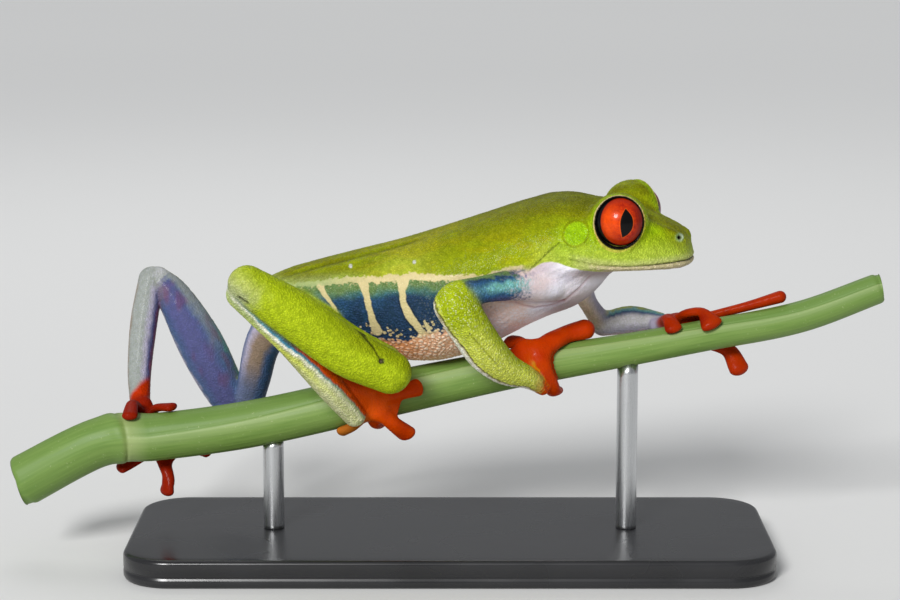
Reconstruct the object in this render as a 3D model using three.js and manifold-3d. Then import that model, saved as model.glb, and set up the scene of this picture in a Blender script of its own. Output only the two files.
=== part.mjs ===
// A life-size red-eyed tree frog climbing along a cut green stem, with the stand that holds the stem.
// Millimetres, +Z up, +X towards the frog's snout, +Y towards its left side.
// The origin is the middle of the stand's underside, on the surface that it stands on.
// The flesh is built from two kinds of piece: lofts for the trunk and the head, and tubes with an oval
// section for limbs and digits. Digits are laid out round the stem that they grip.
import * as THREE from "three";
import Module from "manifold-3d";

const wasm = await Module();
wasm.setup();

const GAP = 0.15; // air between neighbouring pieces
const DEG = Math.PI / 180;
const UP = new THREE.Vector3(0, 0, 1);

// ---------------------------------------------------------------- driving sizes

const BASE = { length: 92, depth: 36, thickness: 4, corner: 7 };
const ROD = { radius: 1.5, places: [-25.5, 25.5], sides: 16 };

// The stem: distance along X, height of its middle, radius.
const STEM = [
  [-62, 10.8, 3.8],
  [-52, 16.1, 3.65],
  [-47.4, 17.35, 3.6],
  [-42.5, 17.5, 3.45],
  [-28.8, 19.4, 3.4],
  [-12, 23.1, 3.3],
  [7.2, 27.2, 2.9],
  [21.5, 29.6, 2.45],
  [36, 32.3, 2.25],
  [50, 35.1, 2.25],
  [61.5, 39.4, 2.15],
];

// The trunk: X, half width, height of the back, height of the belly.
const TRUNK = [
  [-27.6, 4.2, 41.0, 36.4],
  [-23.5, 5.2, 41.8, 34.6],
  [-18.5, 6.4, 43.2, 32.0],
  [-12.9, 7.6, 44.7, 29.8],
  [-7.1, 8.7, 46.2, 28.95],
  [-1, 9.3, 48.1, 29.0],
  [5, 9.3, 50.1, 31.0],
  [12.5, 8.8, 52.5, 34.9],
  [18, 8.2, 53.1, 37.0],
  [24, 7.4, 52.6, 39.0],
];
const TRUNK_AXIS = { atX0: 0.1, slope: -0.07 }; // the trunk's middle moves towards the right side ahead
const TRUNK_CAPS = { rump: 6, neck: 7.5 };
const WIDEST = 0.55; // how far up the trunk it is widest

// The head's own frame: s ahead, t to the left, height above the middle of the eyes.
const HEAD = { x: 25.0, y: -1.5, z: 49.9, yaw: 13.5 * DEG };
// s, half width at the mouth, height above the mouth, depth below it.
const SKULL = [
  [-14, 9.0, 8.3, 5.4],
  [-9, 10.2, 8.6, 3.4],
  [-4, 10.1, 8.5, 1.9],
  [0, 9.2, 8.0, 1.35],
  [4, 7.7, 6.5, 1.15],
  [7, 6.1, 4.9, 1.0],
  [9.4, 5.0, 4.2, 0.9],
];
const SKULL_CAPS = { nape: 4, snout: 3.2 };
const MOUTH = { level: -6.0, corner: -6.8, slit: 0.2 };
const NECK = -10.2; // where the head is parted from the trunk

const EYE = { side: 6.25, radius: 3.85, lid: 4.15, opening: 3.45, depth: 2, sides: 18, ahead: 12 * DEG, raised: 4 * DEG };
const EARDRUM = { s: -6.0, side: 8.2, height: -1.9, radius: 1.75, tilt: 0.3 };

// Limbs: points of the middle line, each with a half width and, where it is flatter, a half thickness.
const LIMBS = {
  thigh_right: [
    [-21.5, -3.5, 35.8, 3.7],
    [-15.2, -8.4, 32.4, 3.5],
    [-9.4, -11.0, 30.2, 3.0],
  ],
  shank_right: [
    [-8.3, -13.2, 29.7, 3.0],
    [-14.4, -14.4, 32.9, 3.35],
    [-21.5, -15.6, 38.4, 3.3],
    [-27.6, -16.0, 42.4, 2.7],
  ],
  tarsus_right: [
    [-28.5, -15.2, 41.0, 2.1],
    [-25.2, -14.1, 37.2, 1.9],
    [-22.0, -13.0, 33.6, 1.8],
    [-16.9, -10.0, 27.1, 1.95],
    [-13.5, -7.0, 22.2, 1.6],
  ],
  thigh_left: [
    [-22.5, 3.6, 37.0, 3.5],
    [-27.2, 8.0, 30.0, 2.7],
    [-28.9, 10.2, 24.0, 2.4],
    [-30.4, 12.0, 18.6, 2.2],
  ],
  shank_left: [
    [-31.2, 12.2, 17.9, 2.4],
    [-34.0, 12.6, 22.6, 3.1],
    [-37.2, 13.5, 28.7, 3.4],
    [-40.9, 14.5, 35.2, 2.6],
    [-43.4, 15.0, 38.1, 1.8],
  ],
  tarsus_left: [
    [-44.4, 14.8, 38.0, 1.9],
    [-45.4, 12.8, 31.8, 2.0],
    [-45.8, 9.8, 25.4, 1.75],
    [-45.5, 7.0, 21.4, 1.5],
  ],
  upper_arm_right: [
    [13.6, -6.6, 41.4, 2.9],
    [7.0, -10.3, 41.2, 2.0],
    [1.4, -12.8, 40.6, 1.9],
  ],
  forearm_right: [
    [0.85, -13.2, 39.2, 3.0],
    [2.5, -12.4, 36.2, 2.85],
    [5.0, -10.6, 32.2, 2.75],
    [7.8, -8.6, 29.3, 2.2],
    [11.0, -6.6, 27.6, 1.5],
    [13.1, -4.6, 25.5, 0.9],
  ],
  upper_arm_left: [
    [18.6, 4.0, 39.2, 1.9],
    [20.1, 6.2, 36.0, 1.35],
    [21.9, 7.6, 33.2, 1.5],
  ],
  forearm_left: [
    [22.4, 7.8, 32.5, 1.7],
    [26.4, 7.4, 33.3, 2.0],
    [30.4, 5.6, 33.4, 1.3],
  ],
};

// Palms and soles, laid on the stem: X, angle round it from the top towards the frog's left, height
// over its surface, half width, half thickness.
const PALMS = {
  foot_right: [
    [-16.8, -50, 10.6, 0.5, 0.5],
    [-15.2, -57, 7.9, 1.05, 0.75],
    [-13.5, -66, 5.2, 1.5, 0.95],
    [-11.4, -84, 1.9, 2.2, 0.9],
    [-9.6, -94, 1.4, 2.4, 0.85],
  ],
  foot_left: [
    [-45.2, 58, 3.0, 1.7, 1.2],
    [-44.4, 82, 1.7, 2.2, 1.0],
    [-43.2, 115, 1.3, 2.6, 0.85],
  ],
  hand_right: [
    [9.6, -64, 2.2, 1.6, 1.0],
    [11.8, -60, 1.5, 2.5, 1.0],
    [13.6, -70, 1.2, 2.2, 0.85],
  ],
  hand_left: [
    [30.2, 66, 2.1, 1.2, 0.9],
    [32.2, 62, 1.4, 1.8, 0.9],
    [34.0, 70, 1.1, 1.8, 0.7],
  ],
};

// Digits, in the same way as the palms; each ends in its round disc.
const DIGITS = {
  finger_right_1: [
    [11.2, -50, 1.6, 1.1, 0.9],
    [10.6, -28, 1.5, 1.1, 0.85],
    [9.4, -10, 1.25, 1.35, 0.85],
  ],
  finger_right_2: [
    [12.8, -44, 1.1, 0.9, 0.7],
    [14.8, -4, 0.85, 0.7, 0.6],
    [15.4, 30, 0.85, 0.75, 0.6],
    [15.6, 56, 0.8, 1.15, 0.6],
  ],
  finger_right_3: [
    [12.8, -54, 1.5, 1.4, 1.05],
    [15.0, -28, 1.1, 1.6, 1.2],
    [17.4, -2, 1.15, 1.35, 1.3],
    [19.9, 8, 1.35, 1.6, 1.5],
  ],
  finger_right_4: [
    [12.8, -78, 1.7, 1.3, 0.95],
    [13.4, -98, 1.6, 1.2, 0.9],
    [13.9, -124, 1.6, 1.15, 0.85],
    [14.2, -146, 1.7, 1.1, 0.8],
    [14.4, -166, 1.5, 1.25, 0.75],
  ],
  finger_left_1: [
    [31.4, 50, 1.3, 0.95, 0.7],
    [31.8, 16, 1.1, 0.95, 0.65],
    [32.0, -14, 0.9, 1.05, 0.65],
    [32.2, -44, 0.8, 1.25, 0.65],
  ],
  finger_left_2: [
    [33.2, 46, 1.3, 0.8, 0.65],
    [34.6, 8, 1.3, 0.75, 0.6],
    [36.6, -12, 1.3, 0.8, 0.65],
    [37.5, -52, 0.8, 1.65, 0.75],
  ],
  finger_left_3: [
    [34.6, 60, 1.1, 0.8, 0.65],
    [38.6, 42, 0.8, 0.75, 0.65],
    [43.4, 22, 0.85, 0.8, 0.7],
    [48.0, 10, 1.15, 1.1, 0.9],
  ],
  finger_left_4: [
    [34.2, 90, 1.2, 0.9, 0.65],
    [36.6, 118, 1.2, 0.95, 0.7],
    [39.6, 140, 2.1, 1.15, 0.85],
    [40.6, 166, 3.9, 1.5, 1.05],
  ],
  toe_right_1: [
    [-11.4, -76, 1.6, 0.9, 0.7],
    [-9.6, -58, 1.2, 0.75, 0.6],
    [-8.4, -40, 0.8, 1.1, 0.6],
  ],
  toe_right_2: [
    [-10.0, -82, 1.5, 1.1, 0.8],
    [-7.0, -82, 1.2, 0.95, 0.8],
    [-4.5, -78, 1.05, 1.3, 0.85],
  ],
  toe_right_3: [
    [-10.0, -108, 1.5, 1.3, 0.9],
    [-8.9, -130, 2.1, 1.15, 0.95],
    [-7.5, -158, 2.9, 1.5, 1.0],
  ],
  toe_right_4: [
    [-11.4, -108, 1.2, 1.1, 0.7],
    [-11.4, -142, 0.9, 0.8, 0.65],
    [-10.8, -186, 0.85, 0.75, 0.6],
    [-10.4, -222, 0.8, 1.2, 0.6],
  ],
  toe_right_5: [
    [-12.6, -104, 1.5, 1.1, 0.8],
    [-14.4, -130, 1.0, 0.8, 0.65],
    [-16.2, -146, 0.8, 1.05, 0.65],
  ],
  toe_left_1: [
    [-45.2, 60, 1.6, 1.0, 0.75],
    [-45.8, 16, 1.2, 0.85, 0.65],
    [-45.8, -33, 0.8, 1.15, 0.65],
  ],
  toe_left_2: [
    [-43.6, 70, 1.3, 0.9, 0.7],
    [-42.2, 26, 0.7, 0.75, 0.6],
    [-39.6, -4, 0.7, 1.1, 0.6],
  ],
  toe_left_3: [
    [-42.2, 104, 1.3, 1.0, 0.7],
    [-39.0, 124, 1.1, 0.75, 0.6],
    [-35.6, 148, 0.8, 1.15, 0.6],
  ],
  toe_left_4: [
    [-42.8, 124, 1.2, 1.1, 0.7],
    [-42.0, 156, 1.8, 0.95, 0.7],
    [-41.6, 170, 3.2, 0.9, 0.7],
    [-42.0, 174, 5.0, 1.4, 0.75],
  ],
  toe_left_5: [
    [-43.8, 128, 1.2, 1.0, 0.7],
    [-46.0, 148, 1.5, 0.8, 0.65],
    [-48.7, 160, 1.5, 1.15, 0.65],
  ],
};

// ---------------------------------------------------------------- curves through tables

// A smooth curve through rows of numbers that are sorted by the first one: x => the other columns.
function through(rows) {
  const slope = (i, k) => {
    const a = rows[Math.max(i - 1, 0)];
    const b = rows[Math.min(i + 1, rows.length - 1)];
    return (b[k] - a[k]) / (b[0] - a[0]);
  };
  return (x) => {
    let i = 0;
    while (i < rows.length - 2 && x > rows[i + 1][0]) i++;
    const [a, b] = [rows[i], rows[i + 1]];
    const width = b[0] - a[0];
    const u = Math.min(Math.max((x - a[0]) / width, 0), 1);
    const [u2, u3] = [u * u, u * u * u];
    return a.slice(1).map((_, j) => {
      const k = j + 1;
      return (
        (2 * u3 - 3 * u2 + 1) * a[k] +
        (u3 - 2 * u2 + u) * width * slope(i, k) +
        (3 * u2 - 2 * u3) * b[k] +
        (u3 - u2) * width * slope(i + 1, k)
      );
    });
  };
}

const stemCurve = through(STEM);
const trunkCurve = through(TRUNK);
const skullCurve = through(SKULL);

// The stem's middle, radius and its two crosswise directions at x.
function stemFrame(x) {
  const [z, radius] = stemCurve(x);
  const step = 0.1;
  const rise = (stemCurve(x + step)[0] - stemCurve(x - step)[0]) / (2 * step);
  const along = new THREE.Vector3(1, 0, rise).normalize();
  const over = new THREE.Vector3(-along.z, 0, along.x);
  return { middle: new THREE.Vector3(x, 0, z), radius, over, left: new THREE.Vector3(0, 1, 0) };
}

function onStem(x, degrees, lift) {
  const { middle, radius, over, left } = stemFrame(x);
  return middle
    .clone()
    .addScaledVector(over, (radius + lift) * Math.cos(degrees * DEG))
    .addScaledVector(left, (radius + lift) * Math.sin(degrees * DEG));
}

// The direction out of the stem at a place, which a digit's thickness follows.
function outOfStem(place) {
  const { middle, over, left } = stemFrame(place.x);
  const out = place.clone().sub(middle);
  return over.clone().multiplyScalar(out.dot(over)).addScaledVector(left, out.dot(left)).normalize();
}

// ---------------------------------------------------------------- closed shapes from rings

// Joins rings of points, all of one count, into a closed geometry; start and end are its two tips.
function closedFrom(rings, start, end) {
  const count = rings[0].length;
  const points = [start, ...rings.flat(), end];
  const faces = [];
  const at = (ring, i) => 1 + ring * count + (i % count);
  for (let i = 0; i < count; i++) {
    faces.push(0, at(0, i + 1), at(0, i));
    for (let r = 0; r < rings.length - 1; r++) {
      faces.push(at(r, i), at(r, i + 1), at(r + 1, i + 1), at(r, i), at(r + 1, i + 1), at(r + 1, i));
    }
    faces.push(at(rings.length - 1, i), at(rings.length - 1, i + 1), points.length - 1);
  }
  const geometry = new THREE.BufferGeometry().setFromPoints(points);
  geometry.setIndex(faces);
  return geometry;
}

// A solid from a geometry. A ring run the other way round gives it inside out, so it is turned back.
function solid(geometry) {
  const position = geometry.getAttribute("position");
  const make = (triVerts) =>
    new wasm.Manifold(new wasm.Mesh({ numProp: 3, vertProperties: new Float32Array(position.array), triVerts }));
  const faces = new Uint32Array(geometry.index.array);
  const made = make(faces);
  if (made.volume() > 0) return made;
  for (let i = 0; i < faces.length; i += 3) [faces[i + 1], faces[i + 2]] = [faces[i + 2], faces[i + 1]];
  return make(faces);
}

// A tube through points [x, y, z, half width, half thickness]; thickness runs along thin(place).
function tube(rows, grow, { sides, spans, thin = () => UP }) {
  const line = new THREE.CatmullRomCurve3(rows.map((r) => new THREE.Vector3(...r)), false, "catmullrom");
  const size = new THREE.CatmullRomCurve3(
    rows.map(([, , , width, thickness = width]) => new THREE.Vector3(width, thickness, 0)),
    false,
    "catmullrom",
  );
  const ring = (u, slide, shrink) => {
    const place = line.getPoint(u);
    const along = line.getTangent(u);
    const normal = thin(place).clone();
    normal.addScaledVector(along, -normal.dot(along)).normalize();
    const across = new THREE.Vector3().crossVectors(along, normal);
    const { x: width, y: thickness } = size.getPoint(u);
    const reach = (thickness + grow) * slide;
    return Array.from({ length: sides }, (_, i) => {
      const angle = (2 * Math.PI * i) / sides;
      return place
        .clone()
        .addScaledVector(along, reach)
        .addScaledVector(across, (width + grow) * shrink * Math.cos(angle))
        .addScaledVector(normal, (thickness + grow) * shrink * Math.sin(angle));
    });
  };
  const rounded = (u, degrees) => ring(u, Math.sin(degrees * DEG), Math.cos(degrees * DEG));
  return closedFrom(
    [
      rounded(0, -45),
      ...Array.from({ length: spans + 1 }, (_, i) => ring(i / spans, 0, 1)),
      rounded(1, 30),
      rounded(1, 62),
    ],
    ring(0, -1, 0)[0],
    ring(1, 1, 0)[0],
  );
}

// How full a loft is near its rounded ends: 1 in the middle, 0 at start and at end.
function fullness(s, start, startCap, end, endCap, power) {
  const into = Math.max((start + startCap - s) / startCap, (s - end + endCap) / endCap, 0);
  return Math.max(1 - Math.min(into, 1) ** power, 0) ** (1 / power);
}

// A loft: outline(s) gives the half width, the heights above and below, and the level they start from.
function loft(places, outline, place, sides) {
  const power = (value) => Math.sign(value) * Math.abs(value) ** 0.95;
  const rings = places.slice(1, -1).map((s) => {
    const { width, above, below, level } = outline(s);
    return Array.from({ length: sides }, (_, i) => {
      const angle = (2 * Math.PI * i) / sides;
      const rise = power(Math.sin(angle));
      return place(s, width * power(Math.cos(angle)), level + (rise > 0 ? above : below) * rise);
    });
  });
  const tips = [places[0], places.at(-1)].map((s) => place(s, 0, outline(s).level));
  return closedFrom(rings, ...tips);
}

// Places for a loft's rings, closer together in its rounded ends.
function spaced(start, startCap, end, endCap, spans) {
  const cap = [0.04, 0.17, 0.4, 0.7];
  const middle = Array.from(
    { length: spans + 1 },
    (_, i) => start + startCap + ((end - endCap - start - startCap) * i) / spans,
  );
  return [
    start,
    ...cap.map((c) => start + startCap * c),
    ...middle,
    ...cap.toReversed().map((c) => end - endCap * c),
    end,
  ];
}

// ---------------------------------------------------------------- trunk and head

function trunk(grow) {
  const [start, end] = [TRUNK[0][0] - grow, TRUNK.at(-1)[0] + grow];
  const outline = (x) => {
    const [width, back, belly] = trunkCurve(x);
    const full = fullness(x, start, TRUNK_CAPS.rump, end, TRUNK_CAPS.neck, 2);
    const level = belly + (back - belly) * WIDEST;
    return {
      width: (width + grow) * full,
      above: (back - level + grow) * full,
      below: (level - belly + grow) * full,
      level,
    };
  };
  const place = (x, t, z) => new THREE.Vector3(x, TRUNK_AXIS.atX0 + TRUNK_AXIS.slope * x + t, z);
  return solid(loft(spaced(start, TRUNK_CAPS.rump, end, TRUNK_CAPS.neck, 9), outline, place, 20));
}

// A point of the head's frame as a point of the model.
function inHead(s, t, height) {
  return new THREE.Vector3(s, t, height)
    .applyAxisAngle(UP, -HEAD.yaw)
    .add(new THREE.Vector3(HEAD.x, HEAD.y, HEAD.z));
}

function skull(grow) {
  const [start, end] = [SKULL[0][0] - grow, SKULL.at(-1)[0] + grow];
  const outline = (s) => {
    const [width, above, below] = skullCurve(s);
    const full = fullness(s, start, SKULL_CAPS.nape, end, SKULL_CAPS.snout, 2.6);
    return {
      width: (width + grow) * full,
      above: (above + grow) * full,
      below: (below + grow) * full,
      level: MOUTH.level,
    };
  };
  return solid(loft(spaced(start, SKULL_CAPS.nape, end, SKULL_CAPS.snout, 7), outline, inHead, 22));
}

// A geometry made round the Y axis, turned to run along a direction from a place.
function turned(geometry, place, direction) {
  geometry.applyQuaternion(new THREE.Quaternion().setFromUnitVectors(new THREE.Vector3(0, 1, 0), direction));
  return merged(geometry.translate(place.x, place.y, place.z));
}

// A round bar from a point along a direction.
function bar(from, direction, radius, length, sides) {
  const geometry = new THREE.CylinderGeometry(radius, radius, length, sides).translate(0, length / 2, 0);
  return turned(geometry, from, direction);
}

// A solid from a three.js geometry, whose seams hold doubled points.
function merged(geometry) {
  const position = geometry.getAttribute("position");
  const known = new Map();
  const points = [];
  const places = Array.from({ length: position.count }, (_, i) => {
    const point = new THREE.Vector3().fromBufferAttribute(position, i);
    const key = point.toArray().map((c) => Math.round(c * 1e4)).join();
    if (!known.has(key)) known.set(key, points.push(point) - 1);
    return known.get(key);
  });
  const corners = geometry.index ? [...geometry.index.array] : [...places.keys()];
  const faces = [];
  for (let i = 0; i < corners.length; i += 3) {
    const face = corners.slice(i, i + 3).map((c) => places[c]);
    if (new Set(face).size === 3) faces.push(...face);
  }
  const closed = new THREE.BufferGeometry().setFromPoints(points);
  closed.setIndex(faces);
  return solid(closed);
}

const SIDES = { right: -1, left: 1 };
const eyeCentre = (way) => inHead(0, way * EYE.side, 0);
const eyeAxis = (way) =>
  new THREE.Vector3(Math.sin(EYE.ahead), way * Math.cos(EYE.ahead), Math.tan(EYE.raised))
    .applyAxisAngle(UP, -HEAD.yaw)
    .normalize();

// A block of the head's frame, from one corner to the other.
function headBlock(low, high) {
  const size = high.map((c, i) => c - low[i]);
  const middle = high.map((c, i) => (c + low[i]) / 2);
  const geometry = new THREE.BoxGeometry(...size).rotateZ(-HEAD.yaw);
  const place = inHead(...middle);
  return merged(geometry.translate(place.x, place.y, place.z));
}

const body = (grow) => trunk(grow).add(skull(grow));

const lidBall = (way, grow) =>
  turned(new THREE.SphereGeometry(EYE.lid + grow, EYE.sides, 9), eyeCentre(way), eyeAxis(way));

function withLidBalls(flesh, grow) {
  return flesh.add(lidBall(SIDES.right, grow)).add(lidBall(SIDES.left, grow));
}

// The bar that an eye's socket is cut with; it starts on the socket's flat floor.
function socket(way) {
  const floor = eyeCentre(way).addScaledVector(eyeAxis(way), -EYE.depth);
  return bar(floor, eyeAxis(way), EYE.opening, 3 * EYE.radius, EYE.sides);
}

// The eye: a plug that fills its socket, with the front of a ball.
function eye(way) {
  const radius = EYE.opening - GAP;
  const rim = Math.asin(radius / EYE.radius);
  const rings = 5;
  const dome = Array.from({ length: rings + 1 }, (_, i) => {
    const angle = rim * (1 - i / rings);
    return new THREE.Vector2(EYE.radius * Math.sin(angle), EYE.radius * Math.cos(angle));
  });
  const floor = GAP - EYE.depth;
  const profile = [new THREE.Vector2(0, floor), new THREE.Vector2(radius, floor), ...dome];
  return turned(new THREE.LatheGeometry(profile, EYE.sides), eyeCentre(way), eyeAxis(way));
}

// The bar that an eardrum is cut from; it starts on the drum's flat inner face.
function eardrumBar(way, grow) {
  const out = new THREE.Vector3(0, way, EARDRUM.tilt).applyAxisAngle(UP, -HEAD.yaw).normalize();
  const from = inHead(EARDRUM.s, way * EARDRUM.side, EARDRUM.height).addScaledVector(out, -grow);
  return bar(from, out, EARDRUM.radius + grow, EARDRUM.side, 14);
}

// ---------------------------------------------------------------- the pieces

const LIME = new THREE.MeshStandardMaterial({ color: 0x9cc420, roughness: 0.45, metalness: 0 });
const FLANK = new THREE.MeshStandardMaterial({ color: 0x3b5fa0, roughness: 0.45, metalness: 0 });
const PALE = new THREE.MeshStandardMaterial({ color: 0xd8cdc8, roughness: 0.5, metalness: 0 });
const ORANGE = new THREE.MeshStandardMaterial({ color: 0xd8430f, roughness: 0.35, metalness: 0 });
const RED_EYE = new THREE.MeshStandardMaterial({ color: 0xc4200a, roughness: 0.1, metalness: 0 });
const STALK = new THREE.MeshStandardMaterial({ color: 0x7f9a52, roughness: 0.5, metalness: 0 });
const BLACK = new THREE.MeshStandardMaterial({ color: 0x1b1b1d, roughness: 0.4, metalness: 0 });
const STEEL = new THREE.MeshStandardMaterial({ color: 0xb9bcc0, roughness: 0.25, metalness: 1 });

const frog = new THREE.Group();

function addPiece(name, made, material) {
  const whole = made.decompose().sort((a, b) => b.volume() - a.volume())[0];
  const { numProp, vertProperties, triVerts, numVert } = whole.getMesh();
  const position = new Float32Array(numVert * 3);
  for (let i = 0; i < numVert; i++) position.set(vertProperties.subarray(i * numProp, i * numProp + 3), i * 3);
  const geometry = new THREE.BufferGeometry();
  geometry.setAttribute("position", new THREE.BufferAttribute(position, 3));
  geometry.setIndex(new THREE.BufferAttribute(triVerts, 1));
  const mesh = new THREE.Mesh(geometry, material);
  mesh.name = name;
  frog.add(mesh);
}

function stemSolid(grow) {
  const count = 12;
  const ends = [STEM[0][0] - grow, STEM.at(-1)[0] + grow];
  const spans = 22;
  const rings = Array.from({ length: spans + 1 }, (_, i) => {
    const x = ends[0] + ((ends[1] - ends[0]) * i) / spans;
    return Array.from({ length: count }, (_, k) => onStem(x, (360 * k) / count, grow));
  });
  return solid(closedFrom(rings, stemFrame(ends[0]).middle, stemFrame(ends[1]).middle));
}

const stemClear = stemSolid(GAP);
const bodyClear = withLidBalls(body(GAP), GAP);

// Trunk, head, jaw, eardrums and eyes.
const flesh = withLidBalls(body(0), 0).subtract(stemClear);
const far = 40;
addPiece("trunk", flesh.intersect(headBlock([-2 * far, -far, -far], [NECK - GAP, far, far])), LIME);
let head = flesh.intersect(headBlock([NECK + GAP, -far, -far], [far, far, far]));
for (const [side, way] of Object.entries(SIDES)) {
  addPiece(`eye_${side}`, eye(way), RED_EYE);
  addPiece(`eardrum_${side}`, head.intersect(eardrumBar(way, 0)), LIME);
  head = head.subtract(socket(way)).subtract(eardrumBar(way, GAP));
}
const belowMouth = (z) => headBlock([MOUTH.corner, -far, -far], [far, far, z]);
addPiece("lower_jaw", head.intersect(belowMouth(MOUTH.level - MOUTH.slit)), PALE);
addPiece("head", head.subtract(belowMouth(MOUTH.level)), LIME);

// Limbs: each is cut clear of the body, of the stem and of the pieces that it joins.
const COLOURS = { thigh: LIME, shank: LIME, tarsus: LIME, upper: FLANK, forearm: LIME };
const placed = {};
const limbShape = (name, grow) => solid(tube(LIMBS[name], grow, { sides: 9, spans: 5 }));
for (const name of Object.keys(LIMBS)) {
  const side = name.split("_").at(-1);
  let made = limbShape(name, 0).subtract(bodyClear).subtract(stemClear);
  for (const [other, clear] of Object.entries(placed)) if (other.endsWith(side)) made = made.subtract(clear);
  addPiece(name, made, COLOURS[name.split("_")[0]]);
  placed[name] = limbShape(name, GAP);
}

// Palms, soles and digits.
const laid = (rows) => rows.map(([x, degrees, lift, ...size]) => [...onStem(x, degrees, lift), ...size]);
const gripShape = (rows, grow, size) => solid(tube(laid(rows), grow, { ...size, thin: outOfStem }));
function addGripping(rows, name, size) {
  const side = name.match(/right|left/)[0];
  let made = gripShape(rows, 0, size).subtract(bodyClear).subtract(stemClear);
  for (const [other, clear] of Object.entries(placed)) if (other.includes(side)) made = made.subtract(clear);
  addPiece(name, made, ORANGE);
  placed[name] = gripShape(rows, GAP, size);
}
for (const [name, rows] of Object.entries(PALMS)) addGripping(rows, name, { sides: 8, spans: rows.length });
for (const [name, rows] of Object.entries(DIGITS)) addGripping(rows, name, { sides: 7, spans: 4 });

// ---------------------------------------------------------------- stem and stand

addPiece("perch_stem", stemSolid(0), STALK);

function roundedBase() {
  const { length, depth, thickness, corner } = BASE;
  const [x, y] = [length / 2, depth / 2];
  const shape = new THREE.Shape()
    .moveTo(-x + corner, -y)
    .lineTo(x - corner, -y)
    .absarc(x - corner, -y + corner, corner, -Math.PI / 2, 0)
    .lineTo(x, y - corner)
    .absarc(x - corner, y - corner, corner, 0, Math.PI / 2)
    .lineTo(-x + corner, y)
    .absarc(-x + corner, y - corner, corner, Math.PI / 2, Math.PI)
    .lineTo(-x, -y + corner)
    .absarc(-x + corner, -y + corner, corner, Math.PI, 1.5 * Math.PI);
  return merged(new THREE.ExtrudeGeometry(shape, { depth: thickness, bevelEnabled: false, curveSegments: 4 }));
}

addPiece("stand_base", roundedBase(), BLACK);
for (const [i, x] of ROD.places.entries()) {
  const foot = new THREE.Vector3(x, 0, BASE.thickness);
  const height = stemFrame(x).middle.z - BASE.thickness;
  addPiece(`stand_rod_${i + 1}`, bar(foot, UP, ROD.radius, height, ROD.sides).subtract(stemClear), STEEL);
}

export default frog;
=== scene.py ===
"""The looks of a life-size red-eyed tree frog that climbs along a cut green stem, on its display stand.

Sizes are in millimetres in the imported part's own frame: +X ahead, +Y to the frog's left, +Z up, and the
stand's underside at z = 0. Meshes are made in metres. The flesh is one skin. The shapes that the solids
are made of are added up as one distance field with softened joins; the field is meshed, the mesh is made
finer where detail is small, and each point gets the colour and the numbers that the material works from.
"""

import functools
import itertools
import math

import bpy
import numpy as np
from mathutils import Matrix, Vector


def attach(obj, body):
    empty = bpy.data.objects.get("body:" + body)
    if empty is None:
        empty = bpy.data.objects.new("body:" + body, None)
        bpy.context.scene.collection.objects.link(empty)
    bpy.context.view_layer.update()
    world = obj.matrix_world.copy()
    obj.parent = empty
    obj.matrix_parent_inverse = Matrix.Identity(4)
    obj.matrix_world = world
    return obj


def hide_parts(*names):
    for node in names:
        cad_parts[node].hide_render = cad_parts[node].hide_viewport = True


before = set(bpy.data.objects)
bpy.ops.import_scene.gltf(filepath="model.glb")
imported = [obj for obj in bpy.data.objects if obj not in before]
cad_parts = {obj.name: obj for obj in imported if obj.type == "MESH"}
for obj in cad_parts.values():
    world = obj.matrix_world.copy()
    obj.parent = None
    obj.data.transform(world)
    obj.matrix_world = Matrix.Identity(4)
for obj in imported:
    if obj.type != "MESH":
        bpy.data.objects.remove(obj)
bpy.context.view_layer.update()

MM = 0.001

# ---------------------------------------------------------------- sizes, as in the solids

BASE = {"length": 92, "depth": 36, "thickness": 4, "corner": 7}
ROD = {"radius": 1.5, "places": (-25.5, 25.5)}

# The stem: distance along X, height of its middle, radius.
STEM = [
    (-62, 10.8, 3.8), (-52, 16.1, 3.65), (-47.4, 17.35, 3.6), (-42.5, 17.5, 3.45), (-28.8, 19.4, 3.4),
    (-12, 23.1, 3.3), (7.2, 27.2, 2.9), (21.5, 29.6, 2.45), (36, 32.3, 2.25), (50, 35.1, 2.25),
    (61.5, 39.4, 2.15),
]

# The trunk: X, half width, height of the back, height of the belly.
TRUNK = [
    (-27.6, 4.2, 41, 36.4), (-23.5, 5.2, 41.8, 34.6), (-18.5, 6.4, 43.2, 32),
    (-12.9, 7.6, 44.7, 29.8), (-7.1, 8.7, 46.2, 28.95), (-1, 9.3, 48.1, 29), (5, 9.3, 50.1, 31),
    (12.5, 8.8, 52.5, 34.9), (18, 8.2, 53.1, 37), (24, 7.4, 52.6, 39),
]
TRUNK_AXIS = (0.1, -0.07)  # y of the trunk's middle at x = 0, and its slope
TRUNK_CAPS = (6, 7.5)
WIDEST = 0.55

# The head's own frame: s ahead, t to the left, h above the middle of the eyes.
HEAD = (25, -1.5, 49.9)
YAW = math.radians(13.5)
# s, half width at the mouth, height above the mouth, depth below it.
SKULL = [
    (-14, 9, 8.3, 5.4), (-9, 10.2, 8.6, 3.4), (-4, 10.1, 8.5, 1.9), (0, 9.2, 8, 1.35),
    (4, 7.7, 6.5, 1.15), (7, 6.1, 4.9, 1), (9.4, 5, 4.2, 0.9),
]
SKULL_CAPS = (4, 3.2)
SKULL_POWER = 2.6
MOUTH_LEVEL = -6

EYE = {"side": 6.25, "radius": 3.85, "lid": 4.15}
# Where the lids' ball sits from the eye's middle, ahead and up, on the right (-1) and on the left (1).
LID_SHIFT = {-1: (-0.1, -0.14), 1: (-0.3, 0.15)}
# Degrees ahead of sideways and degrees raised, on the right and on the left.
EYE_AXIS = {-1: (16.5, 8.5), 1: (46, 6)}
LID_AXIS = {-1: (12, 8), 1: (38, 5)}
LID_OVAL = (0.965, 1.05)  # how much narrower and taller than round the opening is

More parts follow.
